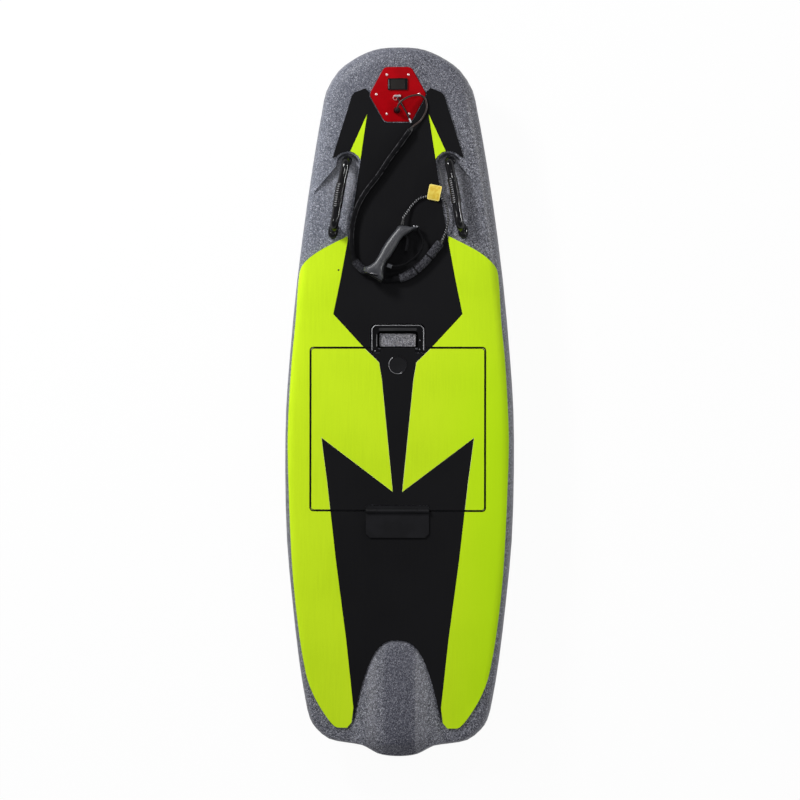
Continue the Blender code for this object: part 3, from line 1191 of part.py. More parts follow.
def build_impeller(impeller_pivot, axis_z):
    """Screw blades on a hub, one with the shaft that runs forward to the motor."""
    shaft_length = MOTOR_AFT_Y - SEAT_GAP - IMPELLER_AFT_Y
    nose = IMPELLER_LENGTH * 1.3
    profile = ((0.0, shaft_length), (SHAFT_RADIUS, shaft_length), (SHAFT_RADIUS, nose),
               (IMPELLER_HUB_RADIUS, IMPELLER_LENGTH * 0.9), (IMPELLER_HUB_RADIUS, 0.0), (0.0, 0.0))
    hub = as_mesh(turned("impeller", profile))
    blades = bmesh.new()
    inner = IMPELLER_HUB_RADIUS * 0.6
    for i in range(IMPELLER_BLADES):
        made = bmesh.ops.create_grid(blades, x_segments=2, y_segments=BLADE_STEPS, size=1.0)
        for v in made["verts"]:
            reach = (v.co.x + 1) / 2
            run = (v.co.y + 1) / 2
            radius = inner + (IMPELLER_RADIUS - inner) * reach
            angle = IMPELLER_TURN * run + 2 * pi * i / IMPELLER_BLADES
            lean = IMPELLER_LENGTH * (0.06 + 0.80 * run)
            v.co = (radius * cos(angle), radius * sin(angle), lean)
    mesh = bpy.data.meshes.new("impeller_blades")
    blades.to_mesh(mesh)
    blades.free()
    sheets = bpy.data.objects.new("impeller_blades", mesh)
    solid = sheets.modifiers.new("thickness", "SOLIDIFY")
    solid.thickness = BLADE_THICKNESS
    solid.offset = 0.0
    for made in (hub, sheets):
        made.rotation_euler = (-pi / 2, 0.0, 0.0)
        made.location = (0.0, IMPELLER_AFT_Y, axis_z)
    cut(hub, place(sheets, carrier=impeller_pivot), "UNION")
    place(hub, "steel", impeller_pivot)


def build_grate(hull):
    """Intake grate: a frame let into the bottom and bars that run fore and aft."""
    middle_y = INTAKE_Y
    slope = (bottom_z(middle_y - INTAKE_LENGTH / 2) - bottom_z(middle_y + INTAKE_LENGTH / 2)) / INTAKE_LENGTH
    rotation = Vector((0.0, 0.0, 1.0)).rotation_difference(Vector((0.0, slope, 1.0)))
    frame = pivot("grate_frame", Vector((0.0, middle_y, bottom_z(middle_y))), rotation)
    outline = rounded_rectangle(INTAKE_WIDTH, INTAKE_LENGTH, INTAKE_CORNER)
    inner = offset_outline(outline, -GRATE_FRAME)
    seat = prism("grate_cut", offset_outline(outline, SEAT_GAP), -OVERRUN / 2, GRATE_DEPTH + SEAT_GAP)
    cut(hull, place(seat, carrier=frame, local=True))
    grate = prism("intake_grate", outline, 0.0, GRATE_DEPTH)
    cut(grate, place(prism("grate_hole", inner, -OVERRUN, OVERRUN), carrier=frame, local=True))
    bars = bmesh.new()
    width = INTAKE_WIDTH - 2 * GRATE_FRAME
    for i in range(GRATE_BARS):
        x = width * ((i + 1) / (GRATE_BARS + 1) - 0.5)
        made = bmesh.ops.create_cube(bars, size=1.0)
        bmesh.ops.scale(bars, vec=(GRATE_BAR_WIDTH, INTAKE_LENGTH - GRATE_FRAME, GRATE_DEPTH * 0.8),
                        verts=made["verts"])
        bmesh.ops.translate(bars, vec=(x, 0.0, GRATE_DEPTH / 2), verts=made["verts"])
    cut(grate, place(mesh_object("grate_bars", bars, clean=False), carrier=frame, local=True), "UNION")
    place(grate, "matte_black", frame, True)


def fin_slot(side):
    y = FIN_TO_STERN - BOW_Y
    top = bottom_z(y) + FIN_TAB_DEPTH + SEAT_GAP
    size = (FIN_TAB_WIDTH + 2 * SEAT_GAP, FIN_TAB_LENGTH + 2 * SEAT_GAP, top + OVERRUN)
    return box("fin_slot_" + SIDE_NAMES[side], size, Vector((side * FIN_SPREAD, y, (top - OVERRUN) / 2)))


def build_fin(side):
    """A raked fin of foil section that stands on the floor, with a tab in its slot in the hull."""
    y = FIN_TO_STERN - BOW_Y
    rows = []
    for row in range(FIN_ROWS + 1):
        t = row / FIN_ROWS
        chord = FIN_CHORD * (1 - (1 - FIN_TIP_SHARE) * t ** 1.5)
        lead = y + FIN_CHORD / 2 - FIN_RAKE * t ** 1.5
        ring = []
        for step in range(2 * FIN_FOIL_STEPS):
            angle = pi * step / FIN_FOIL_STEPS
            back = chord * (1 - cos(angle)) / 2
            swell = FIN_THICKNESS / 2 * (1 - 0.4 * t) * sin(angle) * (1 - 0.55 * back / chord)
            top = bottom_z(lead - back) - SEAT_GAP * 2
            ring.append(Vector((side * FIN_SPREAD + swell, lead - back, top * (1 - t))))
        rows.append(ring)
    fin = loft("fin_" + SIDE_NAMES[side], rows)
    top = bottom_z(y) + FIN_TAB_DEPTH
    low = bottom_z(y) / 2
    tab = box("fin_tab_" + SIDE_NAMES[side], (FIN_TAB_WIDTH, FIN_TAB_LENGTH, top - low),
              Vector((side * FIN_SPREAD, y, (top + low) / 2)))
    cut(fin, place(tab), "UNION")
    place(fin, "matte_black")


def handset_frame():
    """Frame of the hand controller: X runs from its foot to its head, Z = 0 is its underside."""
    base = spot(HANDSET_BASE_SHARE)
    top = spot(HANDSET_TOP_SHARE)
    length = (top - base).length
    lift = 2 * SLEEVE_RADIUS + 3 * SEAT_GAP
    turn = Quaternion((0.0, 0.0, 1.0), atan2(*(top - base).yx))
    drop = Quaternion((0.0, 1.0, 0.0), atan2(lift - SEAT_GAP + HANDSET_HEAD_DROP, length))
    return pivot("handset_frame", Vector((*base, PAD_TOP + lift)), turn @ drop), length


def build_handset():
    """Grip with a flared foot and a horned head, the trigger under the head and its guard."""
    frame, length = handset_frame()
    middle = HANDSET_THICKNESS / 2
    rows = []
    for left_run, left_side, right_run, right_side, tall in HANDSET_SECTION_SHARES:
        left = Vector((left_run, left_side)) * length
        right = Vector((right_run, right_side)) * length
        ring = []
        for step in range(HANDSET_RING_STEPS):
            angle = 2 * pi * step / HANDSET_RING_STEPS
            c, s = cos(angle), sin(angle)
            flat = (left + right) / 2 + (left - right) / 2 * abs(c) ** 0.75 * (1 if c > 0 else -1)
            ring.append(Vector((*flat, middle + middle * tall * abs(s) ** 0.75 * (1 if s > 0 else -1))))
        rows.append(ring)
    place(loft("handset_grip", rows), "matte_black", frame, True)

    guard = smooth_path([Vector((run * length, side * length, middle)) for run, side in GUARD_SHARES], 3)
    swell = [1 + GUARD_BLOCK_SHARE * (len(guard) - 7 < i < len(guard) - 2) for i in range(len(guard))]
    place(as_mesh(tube("handset_guard", guard, GUARD_RADIUS, 2, swell=swell)), "gloss_black", frame, True)
    trigger = smooth_path([Vector((run * length, side * length, middle)) for run, side in TRIGGER_SHARES], 2)
    place(as_mesh(tube("handset_trigger", trigger, TRIGGER_RADIUS, 2)), "matte_black", frame, True)


def build_cable():
    """The control cable, from the panel's gland to the head of the hand controller."""
    place(tube("cable_lead", smooth_path(LEAD_ROUTE, 2), LEAD_RADIUS, 2), "rubber")
    place(tube("cable_sleeve", smooth_path(SLEEVE_ROUTE, 2), SLEEVE_RADIUS, 2), "rubber")
    place(tube("cable_tail", smooth_path(TAIL_ROUTE, 3), TAIL_RADIUS, 2), "rubber")
    place(tube("key_lanyard", smooth_path(LANYARD_ROUTE, 2), LANYARD_RADIUS, 2), "rubber")
    tag = box("cable_tag", (TAG_WIDTH, TAG_LENGTH, TAG_THICKNESS), Vector((0.0, 0.0, 0.0)))
    tag.location = TAG_SPOT
    tag.rotation_euler = (0.0, 0.0, TAG_TURN)
    place(tag, "tag_yellow")


for leftover in list(bpy.data.objects):
    bpy.data.objects.remove(leftover)
SIDE_NAMES = {-1: "port", 1: "starboard"}
PARTS = collection("electric_surfboard")
CUTTERS = collection("cutters")

hatch_pivot = pivot("hatch_pivot", Vector((0.0, HINGE_Y, HINGE_Z)))
latch_pivot = pivot("latch_pivot", Vector((0.0, LATCH_Y, LATCH_Z)))
impeller_pivot = pivot("impeller_pivot", Vector((0.0, IMPELLER_AFT_Y, PUMP_AXIS_HEIGHT)))
pocket_frames = {side: pocket_frame(side) for side in (-1, 1)}
display_frame = panel_frame()

hull = build_hull(pocket_frames, display_frame)
build_grate(hull)
build_pads(hatch_pivot, display_frame)
build_hatch(hatch_pivot)
build_battery_bay()
build_latch(hatch_pivot, latch_pivot)
build_panel(display_frame)
for side, frame in pocket_frames.items():
    build_handle(side, frame)
build_drive(impeller_pivot)
for side in (-1, 1):
    build_fin(side)
build_handset()
build_cable()
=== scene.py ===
from math import atan2, cos, exp, pi, radians, sin

import bmesh
import bpy
from bmesh.types import BMEdge, BMFace, BMVert
from mathutils import Matrix, Quaternion, Vector


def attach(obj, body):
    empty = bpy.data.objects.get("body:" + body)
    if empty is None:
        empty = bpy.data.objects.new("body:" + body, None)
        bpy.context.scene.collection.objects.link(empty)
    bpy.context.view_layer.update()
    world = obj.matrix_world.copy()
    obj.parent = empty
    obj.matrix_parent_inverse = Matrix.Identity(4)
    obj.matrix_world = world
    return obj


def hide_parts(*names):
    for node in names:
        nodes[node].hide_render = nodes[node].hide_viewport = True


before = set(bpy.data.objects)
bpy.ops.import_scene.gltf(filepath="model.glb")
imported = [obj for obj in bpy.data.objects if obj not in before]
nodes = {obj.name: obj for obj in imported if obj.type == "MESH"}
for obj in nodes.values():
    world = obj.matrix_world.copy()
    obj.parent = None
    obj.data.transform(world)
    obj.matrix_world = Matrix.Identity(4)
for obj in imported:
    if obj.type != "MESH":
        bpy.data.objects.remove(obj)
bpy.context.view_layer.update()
scene = bpy.context.scene
up = Vector((0, 0, 1))
sides = ("port", -1), ("starboard", 1)
print("frame loaded,", len(nodes), "nodes")


# camera: nearly straight above the deck, leaning a little to starboard
look = {
    "target": (0.0056, 0.005, 0.165),
    "distance": 9.0,
    "frameWidth": 2.027,
    "lean": radians(4.5),
    "roll": radians(0.1),
}

camera = bpy.data.objects.new("camera", bpy.data.cameras.new("camera"))
scene.collection.objects.link(camera)
camera.data.sensor_width = 36
camera.data.lens = camera.data.sensor_width * look["distance"] / look["frameWidth"]
lean = Quaternion((0, 1, 0), look["lean"])
camera.location = Vector(look["target"]) + lean @ (up * look["distance"])
camera.rotation_mode = "QUATERNION"
camera.rotation_quaternion = lean @ Quaternion(up, look["roll"])
scene.camera = camera


# materials: shader sums are written as plain Python
class Wire:
    def __init__(self, sheet, socket):
        self.sheet = sheet
        self.socket = socket

    def maths(self, operation, *values):
        return self.sheet.add("ShaderNodeMath", {"operation": operation}, dict(enumerate(values)))

    def __add__(self, other):
        return self.maths("ADD", self, other)

    def __sub__(self, other):
        return self.maths("SUBTRACT", self, other)

    def __rsub__(self, other):
        return self.maths("SUBTRACT", other, self)

    def __mul__(self, other):
        return self.maths("MULTIPLY", self, other)

    __radd__ = __add__
    __rmul__ = __mul__

    def sine(self):
        return self.maths("SINE", self)

    def cosine(self):
        return self.maths("COSINE", self)

    def size(self):
        return self.maths("ABSOLUTE", self)

    def most(self, other):
        return self.maths("MAXIMUM", self, other)

    def ramp(self, low, high):
        # 0 below low, 1 above high, and eased between
        eased = {"interpolation_type": "SMOOTHSTEP"}
        return self.sheet.add("ShaderNodeMapRange", eased, {0: self, 1: low, 2: high})


class Finish:
    def __init__(self, name, **sockets):
        self.material = bpy.data.materials.new(name)
        self.material.use_nodes = True
        self.tree = self.material.node_tree
        self.shader = self.tree.nodes["Principled BSDF"]
        self.paint(**sockets)

    def put(self, node, values):
        for key, value in values.items():
            socket = node.inputs[key]
            if isinstance(value, Wire):
                self.tree.links.new(value.socket, socket)
            elif isinstance(value, tuple) and len(socket.default_value) == 4:
                socket.default_value = (*value, 1)
            else:
                socket.default_value = value

    def add(self, kind, settings, values, out=0):
        node = self.tree.nodes.new(kind)
        for key, value in settings.items():
            setattr(node, key, value)
        self.put(node, values)
        return Wire(self, node.outputs[out])

    def place(self, scale=(1, 1, 1), turn=(0, 0, 0), shift=(0, 0, 0)):
        here = self.add("ShaderNodeTexCoord", {}, {}, 3)
        return self.add("ShaderNodeMapping", {}, {0: here, 1: shift, 2: turn, 3: scale})

    def axis(self, index):
        here = self.add("ShaderNodeTexCoord", {}, {}, 3)
        return self.add("ShaderNodeSeparateXYZ", {}, {0: here}, index)

    def noise(self, where, scale, detail=2):
        return self.add("ShaderNodeTexNoise", {}, {"Vector": where, "Scale": scale, "Detail": detail})

    def cells(self, where, scale, out=0):
        return self.add("ShaderNodeTexVoronoi", {}, {"Vector": where, "Scale": scale}, out)

    def chance(self, where, scale):
        # one random number for each small cell
        return self.add("ShaderNodeSeparateColor", {}, {0: self.cells(where, scale, 1)})

    def attribute(self, name):
        return self.add("ShaderNodeAttribute", {"attribute_name": name}, {}, 2)

    def mix(self, factor, first, second):
        return self.add("ShaderNodeMix", {"data_type": "RGBA"}, {0: factor, 6: first, 7: second}, 2)

    def lift(self, height, distance, strength=1.0):
        bump = self.add("ShaderNodeBump", {}, {"Height": height, "Distance": distance, "Strength": strength})
        self.put(self.shader, {"Normal": bump})

    def paint(self, **sockets):
        self.put(self.shader, {key.replace("_", " "): value for key, value in sockets.items()})
        return self.material


fleck = {
    "fine": 600, "coarse": 330, "stretch": 0.8, "dark": (0.023, 0.024, 0.031), "light": (0.226, 0.231, 0.268),
    "railLine": 0.105,
}


def flecked(name, paintedLightGain=(1, 1, 1)):
    # grey skin of chopped silver and dark flakes, with painted light and shade: paler and bluer to port, a
    # painted shade on the hood's middle and the nose; and with the line round the rail where the deck's skin
    # meets the bottom's
    f = Finish(name, Coat_Weight=0.08, Coat_Roughness=0.35, Specular_IOR_Level=0.3)
    where, x, y, z = f.place(), f.axis(0), f.axis(1), f.axis(2)
    strand = f.place((1, fleck["stretch"], 1))
    fine = f.chance(strand, fleck["fine"])
    coarse = f.chance(strand, fleck["coarse"])
    cloud = f.noise(where, 9, 3)
    streak = f.noise(f.place((150, 14, 150)), 1)
    grain = fine * 0.66 + coarse * 0.34
    # a gain above one lightens the flakes: painted light
    light = tuple(more * part for more, part in zip(paintedLightGain, fleck["light"]))
    ground = f.mix(grain.ramp(0.18, 0.82), fleck["dark"], light)
    pale = f.mix(fine.ramp(0.82, 0.94) * 0.6, ground, (0.56, 0.57, 0.62))
    blue = f.mix(coarse.ramp(0.8, 0.88) * 0.35, pale, (0.022, 0.026, 0.052))
    tone = (cloud * 0.5 + streak * 0.5).ramp(0.3, 0.7)
    even = f.mix(tone * 0.16, blue, (0.2, 0.205, 0.245))
    # painted light: on the port side, towards the bow, the flecks are painted paler and bluer
    port = (0.0 - x).ramp(-0.1, 0.26) * y.ramp(-0.35, 0.35)
    paintedPortLight = f.mix(port * 0.15, even, (0.3, 0.35, 0.45))
    # painted light and shade on the deck: a painted shadow down the hood's middle, painted highlights on its
    # flanks and along a line on its starboard flank, painted shade on the nose, and painted light in the hand
    # pockets
    high = z.ramp(0.15, 0.172)
    aft = (0.0 - y).ramp(0.54, 0.66) * high
    # the hood's middle, darkened below as painted shade
    middle = 1 - (x - 0.006).size().ramp(0.028, 0.048)
    flankHighlight = (1 - (x.size() - 0.064).size().ramp(0.006, 0.02)) * aft
    ridgeHighlight = (1 - (x - 0.05).size().ramp(0.0015, 0.005)) * aft
    pocketLight = (z - 0.1).ramp(0.01, 0.02) * (1 - z.ramp(0.152, 0.163)) * (1 - x.size().ramp(0.175, 0.195))
    noseShade = y.ramp(0.66, 0.84) * high * 0.26
    paintedHighlights = f.mix(flankHighlight * 0.14 + ridgeHighlight * 0.14 + pocketLight * y.ramp(0.4, 0.44) * 0.26, paintedPortLight, (0.36, 0.36, 0.38))
    rail = 1 - (z - fleck["railLine"]).size().ramp(0.0006, 0.0018)
    f.lift(grain + cloud * 0.2 - rail * 2, 0.00025, 0.35)
    # painted shade: the hood's middle and the nose are darkened
    paintedShade = f.mix(middle * aft * 0.42 + noseShade, paintedHighlights, (0.026, 0.027, 0.05))
    return f.paint(Base_Color=f.mix(rail * 0.6, paintedShade, (0.012, 0.012, 0.015)), Roughness=0.5 + fine * 0.16)


def foam(name, light, dark, shift, shadedColour=None):
    # closed cell foam with tiny open pores and a soft brushed cut; the last argument is its colour to starboard
    # and aft, a painted shade there
    f = Finish(name, Specular_IOR_Level=0.06, Sheen_Weight=0.02, Sheen_Roughness=0.6)
    where = f.place(shift=(shift, shift, 0))
    pores = f.cells(where, 520)
    brushed = f.noise(f.place((260, 12, 260)), 1, 3)
    cloud = f.noise(where, 5)
    tone = cloud * 0.55 + brushed * 0.3 + pores * 0.15
    f.lift(pores.ramp(0.0, 0.5) + brushed * 0.6, 0.00018, 0.5)
    colour = f.mix(tone.ramp(0.28, 0.66), dark, light)
    if shadedColour:
        # painted shade: to starboard and aft the colour is blended towards the shaded colour
        colour = f.mix(f.axis(0).ramp(0.04, 0.28) * (0.7 - f.axis(1).ramp(-0.1, 0.25) * 0.5), colour, shadedColour)
    return f.paint(Base_Color=colour, Roughness=0.72 + brushed * 0.14)


def moulded(name, light, dark, rough, grain=900, shine=0.5):
    f = Finish(name, Specular_IOR_Level=shine)
    where = f.place()
    cloud = f.noise(where, 22, 3)
    scuff = f.noise(f.place((60, 900, 60), (0, 0, 0.6)), 1).ramp(0.62, 0.78)
    f.lift(f.noise(where, grain), 0.00008, 0.4)
    return f.paint(
        Base_Color=f.mix(cloud.ramp(0.35, 0.7), dark, light), Roughness=rough + cloud * 0.1 + scuff * 0.08)


def metal(name, light, dark, rough, stretch=(500, 500, 12)):
    f = Finish(name, Metallic=1.0)
    lines = f.noise(f.place(stretch), 1, 3)
    cloud = f.noise(f.place(), 30, 3)
    f.lift(lines, 0.00005, 0.35)
    return f.paint(
        Base_Color=f.mix(lines * 0.5 + cloud * 0.5, dark, light), Roughness=rough + lines * 0.16 + cloud * 0.06)


def tagPaint():
    # orange print faded to pale yellow at the rim
    f = Finish("yellow tag", Specular_IOR_Level=0.3)
    rim = f.attribute("rim")
    cloud = f.noise(f.place(), 90, 3)
    middle = f.mix(cloud.ramp(0.35, 0.65), (0.68, 0.45, 0.03), (0.78, 0.61, 0.09))
    f.lift(cloud, 0.0002, 0.3)
    return f.paint(
        Base_Color=f.mix(rim.ramp(0.0, 0.8), middle, (0.88, 0.73, 0.19)), Roughness=0.42 + cloud * 0.12)


def wrapCloth():
    # black neoprene wrap: two welted seams on top, painted pale along them as a painted highlight, and paler
    # woven straps near its lower end
    f = Finish("cable wrap", Specular_IOR_Level=0.04)
    run, strap, welt = f.attribute("run"), f.attribute("strap"), f.attribute("welt")
    turnCos, turnSin = f.attribute("turnCos"), f.attribute("turnSin")
    where = f.place()
    knit = f.cells(where, 900)
    speck = f.chance(where, 420)
    cloud = f.noise(where, 90, 3)
    dark = f.mix(cloud.ramp(0.35, 0.7), (0.0042, 0.0042, 0.005), (0.0074, 0.0074, 0.0084))
    # painted highlight: the welts are painted grey
    seam = f.mix(welt.ramp(0.25, 0.9) * cloud.ramp(0.3, 0.62), dark, (0.085, 0.085, 0.09))
    woven = f.mix(speck.ramp(0.15, 0.9), (0.018, 0.018, 0.022), (0.072, 0.072, 0.082))
    weave = (run * 2600).sine() * turnCos + (run * 2600).cosine() * turnSin
    f.lift(knit + weave * 0.3 * strap, 0.00025, 0.6)
    return f.paint(Base_Color=f.mix(strap, seam, woven), Roughness=0.8 - strap * 0.15)


def coiledCable():
    # black spiral jacket, its crests painted pale along the spiral as a painted highlight
    f = Finish("coiled cable", Specular_IOR_Level=0.35)
    crest = f.attribute("crest")
    dust = f.noise(f.place(), 240)
    f.lift(dust, 0.0001, 0.3)
    # painted highlight on the spiral's crests
    crestHighlight = crest.ramp(0.8, 0.96) * (0.6 + dust * 0.6)
    return f.paint(
        Base_Color=f.mix(crestHighlight, (0.006, 0.006, 0.007), (0.44, 0.44, 0.46)), Roughness=0.4 + dust * 0.15)


def ribbedGrip():
    # gloss black ribs, their crests painted grey along one side of the bar as a painted highlight
    f = Finish("ribbed grip with painted highlights", Specular_IOR_Level=0.26)
    crest = f.attribute("crest")
    dust = f.noise(f.place(), 200)
    f.lift(dust, 0.0001, 0.3)
    return f.paint(
        Base_Color=f.mix(crest.ramp(0.35, 0.75), (0.0045, 0.0045, 0.0052), (0.19, 0.19, 0.2)),
        Roughness=0.1 + dust * 0.15)


black, satin = (0.0045, 0.0045, 0.0052), (0.007, 0.007, 0.008)
finishes = {
    "fleck_grey": flecked("flecked hull"),
    # painted light: a lighter copy of the hull's flecks for the latch well's floor insert
    "wellFloorPaintedLight": flecked("flecked well floor painted lighter", (1.46, 1.38, 1.2)),
    "pad_black": foam("black grip foam", (0.0072, 0.0072, 0.0082), (0.005, 0.005, 0.0058), 0),
    "pad_lime": foam("lime grip foam", (0.595, 0.84, 0.014), (0.52, 0.76, 0.01), 3, (0.5, 0.85, 0.002)),
    # pale lime: a painted highlight on the lime pads' bevelled rims, and the charge dots' own colour
    "limeRim": foam("pale lime and painted rim highlight", (0.82, 0.92, 0.43), (0.76, 0.87, 0.34), 5),
    "panel_red": moulded("red panel", (0.37, 0.001, 0.0045), (0.3, 0.0008, 0.0035), 0.42, 1400, 0.03),
    # the cable gland: partly its own red, darkened as a painted shade
    "shadedRed": moulded("red gland darkened as painted shade", (0.06, 0.0012, 0.003), (0.035, 0.001, 0.0022), 0.45, 1200, 0.05),
    # partly a red ring, partly a painted highlight: paled to pink for the socket's lit rim
    "redRingWithHighlight": metal("red ring, paled by a painted highlight", (0.95, 0.55, 0.55), (0.8, 0.36, 0.37), 0.3, (300, 300, 300)),
    "gloss_black": moulded("gloss black", satin, black, 0.045, 1200, 0.3),
    "ribGrip": ribbedGrip(),
    "matte_black": moulded("satin grey plastic", (0.046, 0.048, 0.056), (0.03, 0.031, 0.037), 0.36, 1100),
    "darkSatin": moulded("dark satin plastic", (0.012, 0.012, 0.013), (0.008, 0.008, 0.009), 0.42, 1100, 0.3),
    "plug": moulded("plain satin black", (0.011, 0.011, 0.013), (0.0082, 0.0082, 0.0094), 0.5, 1100, 0.1),
    "strip": moulded("grey satin strip", (0.032, 0.032, 0.034), (0.02, 0.02, 0.022), 0.5, 1100, 0.12),
    "dullBlack": moulded("dull black", satin, black, 0.6, 1100, 0.03),
    "window": moulded("display glass", (0.023, 0.021, 0.02), (0.019, 0.017, 0.016), 0.1, 300, 0.2),
    "steel": metal("steel", (0.66, 0.66, 0.68), (0.52, 0.52, 0.54), 0.22),
    # steel tinted pink: a painted reflection of the red panel
    "brightSteel": metal("bright steel", (0.86, 0.72, 0.72), (0.74, 0.58, 0.58), 0.3, (400, 400, 400)),
    "alloy": metal("cast alloy", (0.5, 0.51, 0.53), (0.36, 0.37, 0.39), 0.36, (90, 90, 90)),
    # pale metal for the latch rivets, and for the thin beads that are painted highlights
    "trim": metal("rivet metal and painted highlight lines", (0.34, 0.34, 0.35), (0.16, 0.16, 0.17), 0.38, (200, 200, 200)),
    "rubber": moulded("rubber", (0.01, 0.01, 0.0105), (0.0065, 0.0065, 0.007), 0.45, 800, 0.3),
    "cable": moulded("cable jacket", (0.044, 0.027, 0.024), (0.03, 0.019, 0.017), 0.34, 800, 0.3),
    "tag_yellow": tagPaint(),
    "tub_grey": moulded("tub grey", (0.05, 0.052, 0.057), (0.036, 0.038, 0.042), 0.5),
    "wrap": wrapCloth(),
    "coiled": coiledCable(),
}
print("finishes made")


# the CAD nodes come as loose triangles, so they are welded and shaded smooth round their curves
weldDistance = 1e-5


def shadingGroup(name, angle):
    group = bpy.data.node_groups.new(name, "GeometryNodeTree")
    group.interface.new_socket("Geometry", in_out="INPUT", socket_type="NodeSocketGeometry")
    group.interface.new_socket("Geometry", in_out="OUTPUT", socket_type="NodeSocketGeometry")
    make = group.nodes.new
    start, end = make("NodeGroupInput"), make("NodeGroupOutput")
    weld, strip = make("GeometryNodeMergeByDistance"), make("GeometryNodeRemoveAttribute")
    weld.inputs["Distance"].default_value = weldDistance
    strip.inputs["Name"].default_value = "custom_normal"
    clear, faces, edges = [make("GeometryNodeSetShadeSmooth") for _ in range(3)]
    clear.domain = edges.domain = "EDGE"
    edges.inputs["Shade Smooth"].default_value = False
    bend, sharp = make("GeometryNodeInputMeshEdgeAngle"), make("FunctionNodeCompare")
    sharp.operation = "GREATER_THAN"
    sharp.inputs["B"].default_value = angle
    for a, b in (
        (start.outputs[0], weld.inputs[0]), (weld.outputs[0], strip.inputs[0]),
        (strip.outputs[0], clear.inputs[0]), (clear.outputs[0], faces.inputs[0]),
        (faces.outputs[0], edges.inputs[0]), (bend.outputs[0], sharp.inputs["A"]),
        (sharp.outputs[0], edges.inputs["Selection"]), (edges.outputs[0], end.inputs[0]),
    ):
        group.links.new(a, b)
    return group


# rims that are rounded by a small bevel, in metres, and nodes whose finish is their own
rims = {
    "pad_fore_black": 0.0012, "pad_tail_black": 0.0012, "hatch_pad_black": 0.0012,
    "pad_lime_port": 0.002, "pad_lime_starboard": 0.002, "hatch_pad_lime_port": 0.002,
    "hatch_pad_lime_starboard": 0.002, "pad_wedge_port": 0.0016, "pad_wedge_starboard": 0.0016,
    "hinge_plate": 0.001, "hinge_leaf": 0.0008, "latch_bail": 0.0012, "vent_plug": 0.0006,
    "display_bezel": 0.0006, "battery_pack": 0.002, "hatch_lid": 0.001, "display_panel": 0.0008,
}
ownFinish = {
    "hinge_plate": "plug", "hinge_leaf": "plug", "vent_plug": "plug", "latch_bail": "dullBlack",
    "handset_guard": "dullBlack", "handset_trigger": "dullBlack", "latch_catch": "dullBlack",
    "hinge_pin": "darkSatin", "cable_gland": "shadedRed",
    "latch_lug_port": "dullBlack", "latch_lug_starboard": "dullBlack",
}
smoothShading = shadingGroup("weld and shade", radians(32))
for name, node in nodes.items():
    node.modifiers.new("shading", "NODES").node_group = smoothShading
    slotName = node.data.materials[0].name.split(".")[0]
    node.data.materials[0] = finishes[ownFinish.get(name, slotName)]
    if name in rims:
        rim = node.modifiers.new("rim", "BEVEL")
        rim.width = rims[name]
        rim.segments = 3
        rim.limit_method = "ANGLE"
        rim.angle_limit = radians(50)
        # painted highlight: the lime pads' bevelled rims take the pale lime
        if slotName == "pad_lime":
            node.data.materials.append(finishes["limeRim"])
            rim.material = 1
print("nodes finished")


# helpers for new pieces
def at(x, y, z, turn=Matrix()):
    return Matrix.Translation((x, y, z)) @ turn


def finishPiece(name, mesh, finish, body="board", standsFor=(), sharp=radians(38)):
    bmesh.ops.remove_doubles(mesh, verts=mesh.verts, dist=1e-6)
    bmesh.ops.recalc_face_normals(mesh, faces=mesh.faces)
    for face in mesh.faces:
        face.smooth = True
    for edge in mesh.edges:
        edge.smooth = len(edge.link_faces) != 2 or edge.calc_face_angle(0) < sharp
    data = bpy.data.meshes.new(name)
    mesh.to_mesh(data)
    mesh.free()
    data.materials.append(finishes[finish])
    piece = bpy.data.objects.new(name, data)
    scene.collection.objects.link(piece)
    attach(piece, body)
    if standsFor:
        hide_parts(*standsFor)
    return piece


def smoothPath(points, steps=8):
    # a centripetal spline through the route's points
    points = [Vector(p) for p in points]
    framed = [2 * points[0] - points[1]] + points + [2 * points[-1] - points[-2]]
    path = []
    for p0, p1, p2, p3 in zip(framed, framed[1:], framed[2:], framed[3:]):
        t1 = (p1 - p0).length ** 0.5
        t2 = t1 + (p2 - p1).length ** 0.5
        t3 = t2 + (p3 - p2).length ** 0.5
        for step in range(steps):
            t = t1 + (t2 - t1) * step / steps
            a1 = p0.lerp(p1, t / t1)
            a2 = p1.lerp(p2, (t - t1) / (t2 - t1))
            a3 = p2.lerp(p3, (t - t2) / (t3 - t2))
            path.append(a1.lerp(a2, t / t2).lerp(a2.lerp(a3, (t - t1) / (t3 - t1)), (t - t1) / (t2 - t1)))
    return path + [points[-1]]


def evenly(path, spacing):
    # the same line in equal steps, and its length
    marks = [0.0]
    for a, b in zip(path, path[1:]):
        marks.append(marks[-1] + (b - a).length)
    count = max(2, round(marks[-1] / spacing))
    line, i = [], 0
    for k in range(count + 1):
        want = marks[-1] * k / count
        while i < len(path) - 2 and marks[i + 1] < want:
            i += 1
        line.append(path[i].lerp(path[i + 1], (want - marks[i]) / (marks[i + 1] - marks[i])))
    return line, marks[-1]


def pathFrames(line):
    # a frame on each point, carried along without twist
    ahead = (line[1] - line[0]).normalized()
    side = ahead.cross(up) if abs(ahead.z) < 0.9 else Vector((1, 0, 0))
    side.normalize()
    made = []
    for i, point in enumerate(line):
        now = (line[min(i + 1, len(line) - 1)] - line[max(i - 1, 0)]).normalized()
        side = ahead.rotation_difference(now) @ side
        side = (side - now * side.dot(now)).normalized()
        ahead = now
        turn = Matrix((side, now.cross(side), now)).transposed().to_4x4()
        made.append(at(*point, turn))
    return made


